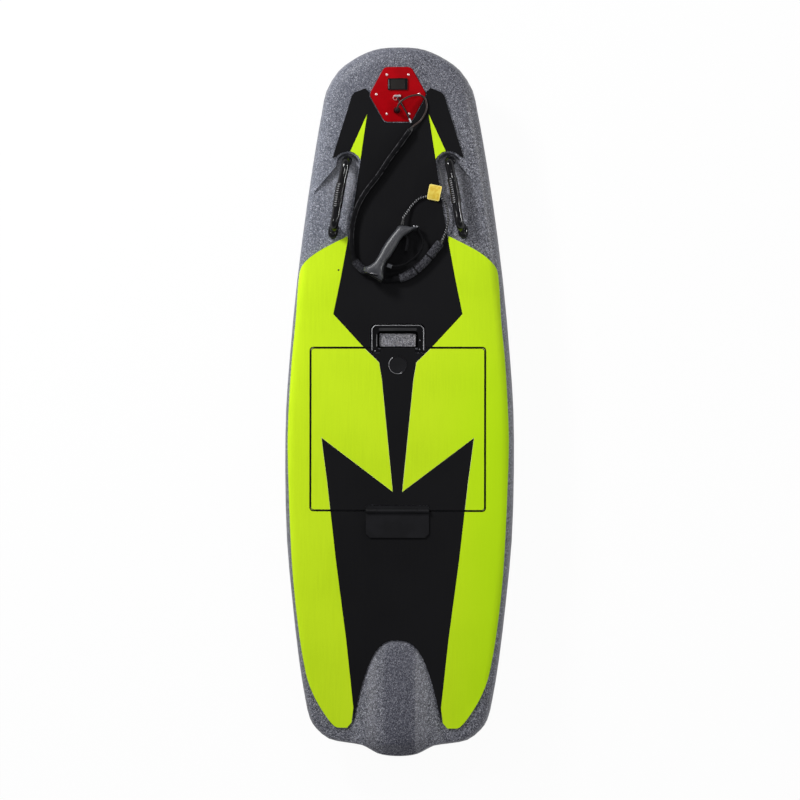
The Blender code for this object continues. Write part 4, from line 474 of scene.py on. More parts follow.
def sweep(line, radius, count, marks={}):
    # a tube along a line, grown ring by ring; radius and marks take (run, angle)
    mesh = bmesh.new()
    layers = {key: mesh.verts.layers.float.new(key) for key in ("run", "turnCos", "turnSin", *marks)}
    frames = pathFrames(line)
    bmesh.ops.create_circle(mesh, segments=count, radius=1, matrix=frames[0])
    edges, ring, run = mesh.edges[:], mesh.verts[:], 0.0
    rings = [ring]
    first = edges
    for before, after in zip(frames, frames[1:]):
        grown = bmesh.ops.extrude_edge_only(mesh, edges=edges)["geom"]
        ring = [g for g in grown if isinstance(g, BMVert)]
        edges = [g for g in grown if isinstance(g, BMEdge)]
        bmesh.ops.transform(mesh, matrix=after @ before.inverted(), verts=ring)
        rings.append(ring)
    for i, (ring, here) in enumerate(zip(rings, frames)):
        if i:
            run += (line[i] - line[i - 1]).length
        for vert in ring:
            flat = here.inverted() @ vert.co
            angle = atan2(flat.y, flat.x)
            vert.co = here @ (Vector((cos(angle), sin(angle), 0)) * radius(run, angle))
            vert[layers["run"]] = run
            vert[layers["turnCos"]] = cos(angle)
            vert[layers["turnSin"]] = sin(angle)
            for key, mark in marks.items():
                vert[layers[key]] = mark(run, angle)
    for rim in (first, edges):
        bmesh.ops.contextual_create(mesh, geom=rim)
    return mesh


# the control cable: lead, wrap and coiled tail, on the same route as its solids
cable = {
    "leadRadius": 0.0025, "wrapRadius": 0.008, "tailRadius": 0.003, "lanyardRadius": 0.002,
    "lead": (
        (-0.002, 0.7369, 0.1934), (-0.0015, 0.7369, 0.199), (0.004, 0.75, 0.2058), (0.0125, 0.76, 0.2066),
        (0.0259, 0.7685, 0.2028), (0.0436, 0.7744, 0.1957), (0.0589, 0.7744, 0.1897), (0.07, 0.7655, 0.1856),
        (0.0738, 0.7477, 0.1843), (0.069, 0.729, 0.183), (0.0575, 0.711, 0.182), (0.0395, 0.6966, 0.1867),
        (0.0327, 0.6872, 0.1862),
    ),
    "wrap": (
        (0.0325, 0.6869, 0.1862), (0.002, 0.645, 0.184), (-0.0233, 0.6108, 0.1824), (-0.0487, 0.5727, 0.1809),
        (-0.0766, 0.5372, 0.1799), (-0.0969, 0.5042, 0.1793), (-0.1109, 0.4662, 0.1789),
        (-0.1159, 0.4307, 0.1788), (-0.1159, 0.3951, 0.1788), (-0.1096, 0.3596, 0.1788),
        (-0.0893, 0.3355, 0.1788), (-0.0614, 0.319, 0.1788), (-0.031, 0.3101, 0.1788), (-0.003, 0.3114, 0.1788),
        (0.0249, 0.3203, 0.1788), (0.0528, 0.3393, 0.1788), (0.0781, 0.3647, 0.1788), (0.0984, 0.3901, 0.1788),
        (0.1086, 0.4027, 0.1788),
    ),
    "tail": (
        (0.1088, 0.4031, 0.1788), (0.1123, 0.4074, 0.1788), (0.1263, 0.4484, 0.1741), (0.1263, 0.4789, 0.1743),
        (0.1213, 0.4992, 0.1745), (0.1111, 0.5156, 0.1747), (0.0908, 0.5245, 0.1749), (0.0705, 0.5195, 0.1748),
        (0.0528, 0.5131, 0.1747), (0.035, 0.4966, 0.1745), (0.0245, 0.481, 0.179), (0.0148, 0.4655, 0.1844),
        (0.0136, 0.4572, 0.1863), (0.012, 0.4474, 0.1873),
    ),
    "lanyard": (
        (0.0, 0.768, 0.19), (0.004, 0.7615, 0.188), (0.0157, 0.7427, 0.1824), (0.0259, 0.7237, 0.181),
        (0.0335, 0.7059, 0.1809),
    ),
    "steps": {"lead": 0.003, "wrap": 0.002, "tail": 0.0011, "lanyard": 0.003},
    "wrapWide": 0.0112, "wrapFlat": 0.0078, "flattenOver": 0.02, "strapLength": 0.044, "strapGap": 0.0035,
    "strapCount": 3, "patch": (0.394, 0.019), "patchMark": 0.55,
    "welts": (-2.35, -0.75), "weltWidth": 0.16, "weltEnd": 0.36, "weltFade": 0.05,
    "dentFrom": 0.22, "dentOver": 0.06, "spiralPitch": 0.0064, "spiralRelief": 0.14,
}
(leadLine, leadLength), (wrapLine, wrapLength), (tailLine, tailLength), (lanyardLine, lanyardLength) = [
    evenly(smoothPath(cable[key]), step) for key, step in cable["steps"].items()]


def strapMark(run, angle=0.0):
    # 1 on the woven straps near the wrap's lower end, less on the patch before them, 0 elsewhere
    left = wrapLength - run
    pitch = cable["strapLength"] + cable["strapGap"]
    if abs(run - cable["patch"][0]) < cable["patch"][1]:
        return cable["patchMark"]
    inside = left % pitch < cable["strapLength"]
    return 1.0 if inside and left < cable["strapCount"] * pitch else 0.0


def weltMark(run, angle):
    # 1 on the two seams along the top of the wrap, which fade out where it turns round the hand controller
    fade = min(1, max(0, (cable["weltEnd"] - run) / cable["weltFade"]))
    return fade * max(exp(-((angle - seam) / cable["weltWidth"]) ** 2) for seam in cable["welts"])


def wrapRadius(run, angle):
    # round at first, and a flat oval where it is strapped
    crease = 0.008 * sin(run * 310 + 2.1 * sin(angle)) + 0.008 * sin(run * 171 + 2 * angle)
    bent = min(1, max(0, (run - cable["dentFrom"]) / cable["dentOver"]))
    dent = 0.05 * max(0, sin(run * 95 + angle)) * bent
    soft = cable["wrapRadius"] * (0.93 + crease + 0.045 * weltMark(run, angle) - dent)
    strapped = cable["strapCount"] * (cable["strapLength"] + cable["strapGap"])
    over = cable["flattenOver"]
    flat = min(1, max(0, (strapped + over - (wrapLength - run)) / over))
    flat = max(flat, 0.9 * exp(-((run - cable["patch"][0]) / (1.3 * cable["patch"][1])) ** 4))
    oval = 1 / ((cos(angle) / cable["wrapWide"]) ** 2 + (sin(angle) / cable["wrapFlat"]) ** 2) ** 0.5
    return soft + (oval * (0.91 + 0.09 * strapMark(run)) - soft) * flat


def spiral(run, angle):
    return 0.5 + 0.5 * sin(2 * pi * run / cable["spiralPitch"] + angle)


def tailRadius(run, angle):
    return cable["tailRadius"] * (1 - cable["spiralRelief"] * (1 - spiral(run, angle)))


leadPiece = finishPiece(
    "cable_lead_jacket", sweep(leadLine, lambda run, angle: cable["leadRadius"], 14), "cable",
    standsFor=["cable_lead"])
wrapPiece = finishPiece(
    "cable_wrap", sweep(wrapLine, wrapRadius, 40, {"strap": strapMark, "welt": weltMark}), "wrap",
    standsFor=["cable_sleeve"])
tailPiece = finishPiece(
    "cable_coiled_tail", sweep(tailLine, tailRadius, 14, {"crest": spiral}), "coiled",
    standsFor=["cable_tail"])
lanyardPiece = finishPiece(
    "key_cord", sweep(lanyardLine, lambda run, angle: cable["lanyardRadius"], 12), "rubber",
    standsFor=["key_lanyard"])


# tapered boots where the cable leaves the panel and where it enters the hand controller
boots = {
    "gland": (0.016, 0.0042), "grip": (0.014, 0.0052), "thin": 0.0029,
    "ribPitch": 0.0032, "ribDepth": 0.0003, "step": 0.0008, "sides": 20,
}


def boot(name, path, length, thick):
    def radius(run, angle):
        rib = boots["ribDepth"] * (0.5 + 0.5 * cos(2 * pi * run / boots["ribPitch"]))
        return thick + (boots["thin"] - thick) * min(1, run / length) ** 0.8 + rib

    return finishPiece(name, sweep(evenly(path, boots["step"])[0], radius, boots["sides"]), "rubber")


glandBoot = boot("cable_boot", smoothPath(cable["lead"])[:12], *boots["gland"])
gripBoot = boot("controller_boot", smoothPath(cable["tail"])[::-1][:14], *boots["grip"])

# collars where the wrap begins and ends, and the crimped end of the key's cord
collars = {
    "wide": 0.0079, "thin": 0.0032, "ribPitch": 0.003, "ribDepth": 0.0003, "ribbedShare": 0.8,
    "tipRadius": 0.0027, "tipRound": 0.003,
}


def collar(name, path):
    line = evenly(path, boots["step"])[0]
    reach = len(line) * boots["step"]

    def radius(run, angle):
        share = min(1, run / reach)
        rib = collars["ribDepth"] * (0.5 + 0.5 * cos(2 * pi * run / collars["ribPitch"]))
        rise = (collars["wide"] - collars["ribDepth"] - collars["thin"]) * (0.5 - 0.5 * cos(pi * share))
        return collars["thin"] + rise + rib * (share < collars["ribbedShare"])

    return finishPiece(name, sweep(line, radius, boots["sides"]), "rubber")


upperCollar = collar("wrap_collar_upper", leadLine[-4:] + wrapLine[1:3])
lowerCollar = collar("wrap_collar_lower", tailLine[8::-2] + wrapLine[-2:-4:-1])
cordTip = finishPiece("key_cord_tip", sweep(
    evenly(lanyardLine[-5:], 0.001)[0],
    lambda run, angle: collars["tipRadius"] * (0.86 + 0.14 * min(1, run / collars["tipRound"])), 16), "alloy")

# the bare yellow tag lies over the tail
tag = {
    "middle": (0.0929, 0.5296, 0.1791), "size": (0.032, 0.039), "turn": radians(-11), "thick": 0.0008,
    "corner": 0.0035, "rim": 0.0035, "droop": 0.003, "ripple": 0.0004, "rippleRate": 170,
}
wide, long = tag["size"]
mesh = bmesh.new()
bmesh.ops.create_grid(mesh, x_segments=22, y_segments=26, size=0.5)
edgeLayer = mesh.verts.layers.float.new("rim")
for vert in mesh.verts:
    reach = min((0.5 - abs(vert.co.x)) * wide, (0.5 - abs(vert.co.y)) * long)
    vert[edgeLayer] = max(0, 1 - reach / tag["rim"])
    x, y = vert.co.x * wide, vert.co.y * long
    ends = Vector((abs(x) - wide / 2 + tag["corner"], abs(y) - long / 2 + tag["corner"]))
    if ends.x > 0 and ends.y > 0 and ends.length > tag["corner"]:
        x -= (1 if x > 0 else -1) * (ends.x - ends.normalized().x * tag["corner"])
        y -= (1 if y > 0 else -1) * (ends.y - ends.normalized().y * tag["corner"])
    sag = tag["droop"] * (2 * abs(y) / long) ** 2 + tag["ripple"] * sin(tag["rippleRate"] * x + 0.6)
    vert.co = (x, y, -sag)
bmesh.ops.rotate(mesh, verts=mesh.verts, matrix=Matrix.Rotation(tag["turn"], 3, "Z"))
bmesh.ops.translate(mesh, verts=mesh.verts, vec=tag["middle"])
bmesh.ops.solidify(mesh, geom=mesh.faces[:], thickness=tag["thick"])
tagPiece = finishPiece("yellow_tag", mesh, "tag_yellow", standsFor=["cable_tag"])


print("cable made")


# helpers for fastenings and beads
def addScrew(mesh, place, radius, height, flats=6):
    # a low domed head with a socket of so many flats; bare numbers are shares of its radius and height
    before = set(mesh.verts)
    disc = bmesh.ops.create_circle(mesh, cap_ends=True, segments=24, radius=radius)
    grown = bmesh.ops.extrude_face_region(mesh, geom=[disc["verts"][0].link_faces[0]])["geom"]
    top = next(g for g in grown if isinstance(g, BMFace))
    bmesh.ops.translate(mesh, verts=top.verts, vec=up * height * 0.55)
    for thickness, rise in ((0.16, 0.3), (0.26, 0.15)):
        bmesh.ops.inset_region(mesh, faces=[top], thickness=radius * thickness)
        bmesh.ops.translate(mesh, verts=top.verts, vec=up * height * rise)
    for vert in top.verts:
        angle = (atan2(vert.co.y, vert.co.x) % (2 * pi / flats)) - pi / flats
        vert.co.xy = vert.co.xy.normalized() * radius * 0.46 * cos(pi / flats) / cos(angle)
    pit = bmesh.ops.extrude_face_region(mesh, geom=[top])["geom"]
    sunk = [g for g in pit if isinstance(g, BMVert)]
    bmesh.ops.translate(mesh, verts=sunk, vec=up * -height * 0.7)
    bmesh.ops.delete(mesh, geom=[top], context="FACES_ONLY")
    bmesh.ops.transform(mesh, matrix=place, verts=[v for v in mesh.verts if v not in before])


def screws(name, spots, radius, height, finish="steel", body="board", slot="steel"):
    mesh = bmesh.new()
    for spot in spots:
        addScrew(mesh, spot, radius, height)
    return finishPiece(name, mesh, finish, body, sharp=radians(50))


def bead(name, path, radius, finish, body="board", closed=False, count=8):
    if closed:
        path = path + path[:2]
    return finishPiece(name, sweep(path, lambda run, angle: radius, count), finish, body)


def roundedCorner(middle, radius, start, end, z, steps=8):
    # points on an arc in the deck's plane, angles in degrees
    arc = [radians(start + (end - start) * i / steps) for i in range(steps + 1)]
    return [Vector((middle[0] + radius * cos(a), middle[1] + radius * sin(a), z)) for a in arc]


# display panel: screws, key ring, and a pale bead on the display's left edge that is a painted highlight
panel = {
    "origin": (0, 0.7782, 0.1791), "slope": (0.9966, 0.0828), "face": 0.003,
    "screws": (
        (-0.0275, 0.0495), (0.027, 0.0495), (-0.0545, 0.0005), (0.054, 0.0005), (-0.0285, -0.0492),
        (0.0285, -0.0492)),
    "screw": (0.0031, 0.0014), "screwTurn": 0.4,
    "bezel": (0.0505, 0.0295), "bezelMargin": 0.0028, "bezelAt": 0.026, "bezelTop": 0.0062, "edgeWire": 0.00055,
    "ringAt": (-0.006, -0.0084), "ringRadius": 0.0058, "ringWire": 0.0009, "ringTop": 0.0076,
}
rise, dip = panel["slope"]
panelFrame = Matrix((
    (1, 0, 0, panel["origin"][0]), (0, rise, -dip, panel["origin"][1]), (0, dip, rise, panel["origin"][2]),
    (0, 0, 0, 1)))
spots = [
    panelFrame @ at(x, y, panel["face"], Matrix.Rotation(panel["screwTurn"] * k, 4, "Z"))
    for k, (x, y) in enumerate(panel["screws"])]
# the panel screws take the pink-tinted steel, a painted reflection
screws("panel_screws", spots, *panel["screw"], "brightSteel")
halfWide, halfHigh = [side / 2 - panel["bezelMargin"] for side in panel["bezel"]]
# painted highlight: a pale bead along the bezel's left inner edge
bead("display_edge_highlight", [
    panelFrame @ Vector((-halfWide, panel["bezelAt"] + share * halfHigh, panel["bezelTop"]))
    for share in (-1, -0.5, 0, 0.5, 1)], panel["edgeWire"], "trim")
ring = roundedCorner(panel["ringAt"], panel["ringRadius"], 0, 360, panel["ringTop"], 32)[:-1]
# the key ring: red, paled to pink as a painted highlight of the socket's lit rim
bead("key_ring", [panelFrame @ point for point in ring], panel["ringWire"], "redRingWithHighlight", closed=True, count=10)
print("panel dressed")


# grab handles: moulded rib grip, glossy feet and their bolts
handle = {
    "line": (
        # y, distance from the middle and z along the bar
        (0.4631, 0.1562, 0.2019), (0.472, 0.1547, 0.2017), (0.4809, 0.1533, 0.2013), (0.4898, 0.152, 0.2006),
        (0.4987, 0.1508, 0.1997), (0.5076, 0.1495, 0.1988), (0.5165, 0.1482, 0.1978), (0.5254, 0.1468, 0.1969),
        (0.5343, 0.1452, 0.196), (0.5432, 0.1434, 0.1953), (0.5521, 0.1415, 0.1946), (0.561, 0.1395, 0.1938),
        (0.5699, 0.1375, 0.193), (0.5788, 0.1356, 0.1918),
    ),
    "barRadius": 0.011, "skin": 0.0008, "ribPitch": 0.0056, "ribHeight": 0.001, "ribFade": 0.002,
    "step": 0.0007, "ribs": {"port": (0.49, 0.553), "starboard": (0.5, 0.564)},
    "highlightAngle": -1.98, "highlightWidth": 0.42,
    "foot": (0.165, 0.432, 0.164), "footSize": (0.013, 0.019, 0.013), "footTurn": radians(8),
    "toe": (0.13, 0.614, 0.156), "toeSize": (0.012, 0.01, 0.008),
    "bolt": (0.0048, 0.002), "boltAft": 0.004, "boltSunk": 0.0006,
}


def dome(mesh, middle, size, turn):
    # half an egg that stands on the deck
    before = set(mesh.verts)
    bmesh.ops.create_uvsphere(mesh, u_segments=36, v_segments=20, radius=1)
    made = [v for v in mesh.verts if v not in before]
    for vert in made:
        x, y, z = vert.co
        full = max(0, 1 - z * z) ** 0.5
        vert.co.z = z if z > 0 else z * 0.3
        if full > 0:
            swell = (1 - abs(z) ** 3) ** (1 / 3) / full
            vert.co.x, vert.co.y = x * swell, y * swell
    place = at(*middle, Matrix.Rotation(turn, 4, "Z")) @ Matrix.Diagonal((*size, 1))
    bmesh.ops.transform(mesh, matrix=place, verts=made)


for side, way in sides:
    low, high = handle["ribs"][side]
    barLine = evenly(smoothPath([(way * x, y, z) for y, x, z in handle["line"]]), handle["step"])[0]
    gripLine = [point for point in barLine if low <= point.y <= high]
    reach = len(gripLine) * handle["step"]

    def ribWave(run):
        return 0.5 - 0.5 * cos(2 * pi * run / handle["ribPitch"])

    def ribRadius(run, angle):
        ends = min(1, run / handle["ribFade"], max(0, reach - run) / handle["ribFade"])
        return handle["barRadius"] + handle["skin"] + handle["ribHeight"] * ends * ribWave(run) ** 0.6

    # painted highlight: 1 on the rib crests along one side of the bar
    def ribCrest(run, angle):
        highlightSide = exp(-((angle - handle["highlightAngle"]) / handle["highlightWidth"]) ** 2)
        return ribWave(run) ** 2 * highlightSide * (0.02 < run / reach < 0.98)

    finishPiece("handle_ribs_" + side, sweep(gripLine, ribRadius, 28, {"crest": ribCrest}), "ribGrip",
                sharp=radians(80))
    mesh = bmesh.new()
    for foot in ("foot", "toe"):
        x, y, z = handle[foot]
        dome(mesh, (way * x, y, z), handle[foot + "Size"], way * handle["footTurn"])
    finishPiece("handle_feet_" + side, mesh, "gloss_black")
    x, y, z = handle["foot"]
    boltAt = at(way * x, y - handle["boltAft"], z + handle["footSize"][2] - handle["boltSunk"])
    screws("handle_bolt_" + side, [boltAt], *handle["bolt"], "darkSatin")
print("handles dressed")


# plates for several fittings; below, each is its place, half size, corner, height, chamfer, dish and border
def addPlate(mesh, place, half, corner, height, chamfer=0.0006, dish=0.0, border=0.0):
    # a plate with round corners, and a dished middle where dish isn't 0
    before = set(mesh.verts)
    made = bmesh.ops.create_grid(mesh, x_segments=1, y_segments=1, size=1)["verts"]
    for vert in made:
        vert.co.x, vert.co.y = vert.co.x * half[0], vert.co.y * half[1]
    bmesh.ops.bevel(mesh, geom=made, offset=corner, segments=6, profile=0.5, affect="VERTICES", material=-1)
    face = next(f for f in mesh.faces if all(v not in before for v in f.verts))
    grown = bmesh.ops.extrude_face_region(mesh, geom=[face])["geom"]
    top = next(g for g in grown if isinstance(g, BMFace))
    bmesh.ops.translate(mesh, verts=top.verts, vec=up * (height - chamfer))
    bmesh.ops.inset_region(mesh, faces=[top], thickness=chamfer)
    bmesh.ops.translate(mesh, verts=top.verts, vec=up * chamfer)
    if dish:
        bmesh.ops.inset_region(mesh, faces=[top], thickness=border)
        bmesh.ops.inset_region(mesh, faces=[top], thickness=dish)
        bmesh.ops.translate(mesh, verts=top.verts, vec=up * -dish)
    bmesh.ops.transform(mesh, matrix=place, verts=[v for v in mesh.verts if v not in before])


def addCap(mesh, place, wide, thin, tall, count):
    bmesh.ops.create_cone(
        mesh, cap_ends=True, segments=count, radius1=wide, radius2=thin, depth=tall, matrix=place)


def plates(name, rows, finish, body="board"):
    mesh = bmesh.new()
    for row in rows:
        addPlate(mesh, *row)
    return finishPiece(name, mesh, finish, body, sharp=radians(40))


def placed(place, *shape):
    return (at(*place), *shape)


# latch: pale beads along the bail's outer edge and one inner edge as painted highlights, a grey strip on the
# bail, and the well below it, its dark lining a painted shade and its floor insert painted lighter
latch = {
    "edge": (0.0657, 0.1938, 0.131, 0.0125, 0.169), "wire": 0.0013,  # half width, front, back, corner and top
    "inner": (-0.0535, 0.14, 0.17), "innerWire": 0.0006,
    "strip": ((0, 0.1838, 0.1688), (0.048, 0.0036), 0.003, 0.0005, 0.0002),
    "rivets": ((-0.0575, 0.129), (0.056, 0.156), (0.0555, 0.133)), "rivet": (0.0014, 0.0006),
    "well": ((0, 0.1676, 0.1493), (0.0692, 0.03), 0.015, 0.0008, 0.0003),
    "insert": ((-0.0012, 0.1568, 0.15), (0.0462, 0.0166), 0.003, 0.01, 0.0008),
    "vent": ((0, 0.0938), 0.0226), "ventTop": 0.1703, "ventWire": 0.0007,
    "ventHighlightArc": (125, 300), "highlightSwell": 1.15,
}
wide, front, back, turn, top = latch["edge"]
edge = [Vector((wide, back + (front - turn - back) * i / 8, top)) for i in range(8)]
edge += roundedCorner((wide - turn, front - turn), turn, 0, 90, top)
edge += [Vector(((wide - turn) * (1 - i / 6), front, top)) for i in range(1, 12)]
edge += roundedCorner((turn - wide, front - turn), turn, 90, 180, top)
edge += [Vector((-wide, front - turn - (front - turn - back) * i / 8, top)) for i in range(1, 9)]
# painted highlights: pale beads along the bail's outer edge and, below, one inner edge
bead("latch_edge_highlight", edge, latch["wire"], "trim", "latch")
x, low, high = latch["inner"]
inner = [Vector((x, low + (high - low) * i / 4, top)) for i in range(5)]
bead("latch_inner_highlight", inner, latch["innerWire"], "trim", "latch")
plates("latch_strip", [placed(*latch["strip"])], "strip", "latch")
rivets = [at(x, y, top) for x, y in latch["rivets"]]
screws("latch_rivets", rivets, *latch["rivet"], "trim", "latch")
# painted shade: a black lining over the well's floor, dark round the insert
plates("latch_well_painted_shade", [placed(*latch["well"])], "dullBlack")
# painted light: the well's floor insert takes the lighter copy of the hull's flecks
plates("latch_well_floor", [placed(*latch["insert"])], "wellFloorPaintedLight")
ring = roundedCorner(*latch["vent"], 0, 360, latch["ventTop"], 64)[:-1]
bead("vent_ring", ring, latch["ventWire"], "plug", "hatch", closed=True)
# painted highlight: a pale arc on the port side of the vent ring
highlightPath = roundedCorner(*latch["vent"], *latch["ventHighlightArc"], latch["ventTop"], 64)
bead("vent_ring_highlight", highlightPath, latch["ventWire"] * latch["highlightSwell"], "trim", "hatch")

# painted shade: a black bead on the cut edges of the lime pads, on both sides of the hatch's seam, darkening
# the gap
seam = {
    "z": 0.1691, "tape": 0.0011, "ends": (0.07, 0.084),  # where it stops beside the latch and the hinge
    # body, half width, front, aft and corner
    "sides": (("hatch", 0.2201, 0.1356, -0.2736, 0.0076), ("board", 0.223, 0.1385, -0.2765, 0.0105)),
}
z = seam["z"]
latchSide, hingeSide = seam["ends"]
for body, x, front, aft, turn in seam["sides"]:
    for side, way in sides:
        path = [Vector((latchSide + (x - turn - latchSide) * i / 12, front, z)) for i in range(12)]
        path += roundedCorner((x - turn, front - turn), turn, 90, 0, z)
        path += [Vector((x, front - turn + (aft + 2 * turn - front) * i / 30, z)) for i in range(1, 30)]
        path += roundedCorner((x - turn, aft + turn), turn, 0, -90, z)
        path += [Vector((x - turn + (hingeSide - x + turn) * i / 12, aft, z)) for i in range(1, 13)]
        path = [Vector((way * point.x, point.y, point.z)) for point in path]
        bead(body + "_seam_tape_" + side, path, seam["tape"], "dullBlack", body)
print("hatch dressed")


# hand controller: foot cap with its slit and a pale bead along the foot that is a painted highlight, a block on
# the guard and a screw pair on the beak
controller = {
    "frame": (
        (0.5503, -0.8323, 0.0669, -0.0616), (0.8262, 0.5544, 0.1004, 0.3215), (-0.1207, 0, 0.9927, 0.1867),
        (0, 0, 0, 1)),
    "cap": ((0.006, -0.002, 0.004), (0.0255, 0.015), 0.01, 0.0118, 0.001),
    "line": (
        (-0.0815, 0.3282, 0.1965), (-0.0785, 0.3275, 0.201), (-0.074, 0.3266, 0.2116), (-0.064, 0.3245, 0.2176),
        (-0.0545, 0.3226, 0.2184), (-0.048, 0.3214, 0.2186)),
    "highlightRadius": 0.0007, "slitShift": (0.0008, -0.0028, -0.0004), "slitRadius": 0.0018,
    "block": ((-0.0185, 0.3432, 0.1965), (0.0062, 0.0046), 0.0015, 0.0085, 0.0008), "blockTurn": radians(-20),
    "beak": ((0.0425, 0.4438, 0.188), (0.049, 0.4429, 0.1912)), "beakScrew": (0.0021, 0.0014),
}
place, *shape = controller["cap"]
capTurn = Matrix(((0, 0, -1, 0), (1, 0, 0, 0), (0, -1, 0, 0), (0, 0, 0, 1)))  # out of the grip's foot
cap = (Matrix(controller["frame"]) @ at(*place) @ capTurn, *shape)
plates("controller_foot_cap", [cap], "rubber")
# painted highlight: a pale bead along the grip's foot edge
highlightPath = [Vector(point) for point in controller["line"]]
bead("controller_foot_highlight", highlightPath, controller["highlightRadius"], "trim")
slit = [point + Vector(controller["slitShift"]) for point in highlightPath]
bead("controller_foot_slit", slit, controller["slitRadius"], "dullBlack")
place, *shape = controller["block"]
block = (at(*place, Matrix.Rotation(controller["blockTurn"], 4, "Z")), *shape)
plates("controller_block", [block], "matte_black")
screws("controller_beak_screws", [at(*spot) for spot in controller["beak"]], *controller["beakScrew"])
print("controller dressed")


# fittings seen with the hatch open
faceDown = Matrix.Rotation(pi, 4, "X")
faceBow = Matrix.Rotation(-pi / 2, 4, "X")
bay = {
    "lidUnder": 0.153, "linerAt": (0, -0.069), "liner": ((0.186, 0.172), 0.022, 0.0022, 0.0006, 0.001, 0.014),
    "ribsAcross": (-0.185, -0.108, -0.03, 0.047), "ribAcross": ((0.166, 0.003), 0.0025, 0.005),
    "ribsAlong": (-0.11, 0, 0.11), "ribAlong": ((0.003, 0.152), 0.0025, 0.0046),
    "linerScrews": (0.177, 0.163), "linerScrew": (0.004, 0.0012),
    "packTop": 0.1293, "packAt": (0, -0.101), "pack": ((0.152, 0.122), 0.018, 0.0022, 0.0008, 0.0012, 0.008),
    "handleFeet": 0.064, "handleFoot": ((0.013, 0.017), 0.006, 0.0042),
    "plugAt": (0, 0.004), "plug": ((0.034, 0.013), 0.004, 0.01, 0.001),
    "capPlace": (0.017, 0.0138), "cap": (0.0085, 0.0078, 0.009),
    "gaugeAt": (0.105, -0.19), "gauge": ((0.026, 0.01), 0.004, 0.0034, 0.0006, 0.0008, 0.002),
    "dots": 5, "dotPitch": 0.007, "dotLift": 0.0022, "dot": (0.002, 0.0008),
    "packScrews": (0.146, 0.116), "footScrews": 0.012, "packScrew": (0.0034, 0.0012),
    "floor": 0.043, "controllerAt": (0, 0.075), "controllerBox": ((0.075, 0.028), 0.006, 0.0204, 0.001),
    "fins": 13, "finMargin": 0.008, "finFoot": 0.018, "fin": ((0.0014, 0.024), 0.001, 0.016, 0.0004),
    "wall": 0.1995, "wallRibs": (-0.215, -0.155, -0.095, -0.035, 0.025, 0.085),
    "wallRib": ((0.003, 0.006), 0.002, 0.104, 0.0008),
    "motorAt": (0, -0.2493, 0.104), "motorRing": 0.032, "motorBolts": 6, "motorBolt": (0.0034, 0.0016),
    "motorCap": (0.02, 0.0165, 0.004),
}
x, y = bay["linerAt"]
lidZ = bay["lidUnder"]
liner = [(at(x, y, lidZ, faceDown), *bay["liner"])]
liner += [(at(x, rib, lidZ, faceDown), *bay["ribAcross"]) for rib in bay["ribsAcross"]]
liner += [(at(rib, y, lidZ, faceDown), *bay["ribAlong"]) for rib in bay["ribsAlong"]]
plates("hatch_liner", liner, "tub_grey", "hatch")
stepX, stepY = bay["linerScrews"]
lidZ -= bay["liner"][2]
spots = [at(x + i * stepX, y + j * stepY, lidZ, faceDown) for i in (-1, 0, 1) for j in (-1, 0, 1) if i or j]
screws("hatch_liner_screws", spots, *bay["linerScrew"], "steel", "hatch")

x, y = bay["packAt"]
top, foot = bay["packTop"], bay["handleFeet"]
plugX, plugY = bay["plugAt"]
gaugeX, gaugeY = bay["gaugeAt"]
tops = ((x, y, "pack"), (-foot, y, "handleFoot"), (foot, y, "handleFoot"), (plugX, plugY, "plug"),
        (gaugeX, gaugeY, "gauge"))
plates("battery_top", [(at(x, y, top), *bay[key]) for x, y, key in tops], "matte_black")
mesh = bmesh.new()
capX, capLift = bay["capPlace"]
for way in (-1, 1):
    addCap(mesh, at(plugX + way * capX, plugY, top + capLift), *bay["cap"], 32)
finishPiece("battery_plug_caps", mesh, "gloss_black")
middle = (bay["dots"] - 1) / 2
spots = [at(gaugeX + bay["dotPitch"] * (i - middle), gaugeY, top + bay["dotLift"]) for i in range(bay["dots"])]
screws("battery_charge_dots", spots, *bay["dot"], "limeRim", slot="pad_lime")
stepX, stepY = bay["packScrews"]
packTop, footTop = top + bay["pack"][2], top + bay["handleFoot"][2]
spots = [at(x + i * stepX, y + j * stepY, packTop) for i in (-1, 0, 1) for j in (-1, 1) if i or j < 0]
spots += [at(way * foot, y + j * bay["footScrews"], footTop) for way in (-1, 1) for j in (-1, 1)]
screws("battery_screws", spots, *bay["packScrew"])

x, y = bay["controllerAt"]
floorZ, finsHalf = bay["floor"], bay["controllerBox"][0][0] - bay["finMargin"]
fins = [(at(x, y, floorZ), *bay["controllerBox"])]
finPitch = 2 * finsHalf / (bay["fins"] - 1)
for i in range(bay["fins"]):
    fins.append((at(x - finsHalf + finPitch * i, y, floorZ + bay["finFoot"]), *bay["fin"]))
plates("speed_controller", fins, "alloy")
walls = [(at(way * bay["wall"], rib, floorZ), *bay["wallRib"]) for way in (-1, 1) for rib in bay["wallRibs"]]
plates("tub_wall_ribs", walls, "tub_grey")
x, y, z = bay["motorAt"]
turns = [2 * pi * (i + 0.5) / bay["motorBolts"] for i in range(bay["motorBolts"])]
bolts = [at(x + bay["motorRing"] * cos(a), y, z + bay["motorRing"] * sin(a), faceBow) for a in turns]
screws("motor_bolts", bolts, *bay["motorBolt"])
mesh = bmesh.new()
addCap(mesh, at(x, y + bay["motorCap"][2] / 2, z, faceBow), *bay["motorCap"], 48)
finishPiece("motor_cap", mesh, "darkSatin")
print("bay dressed")


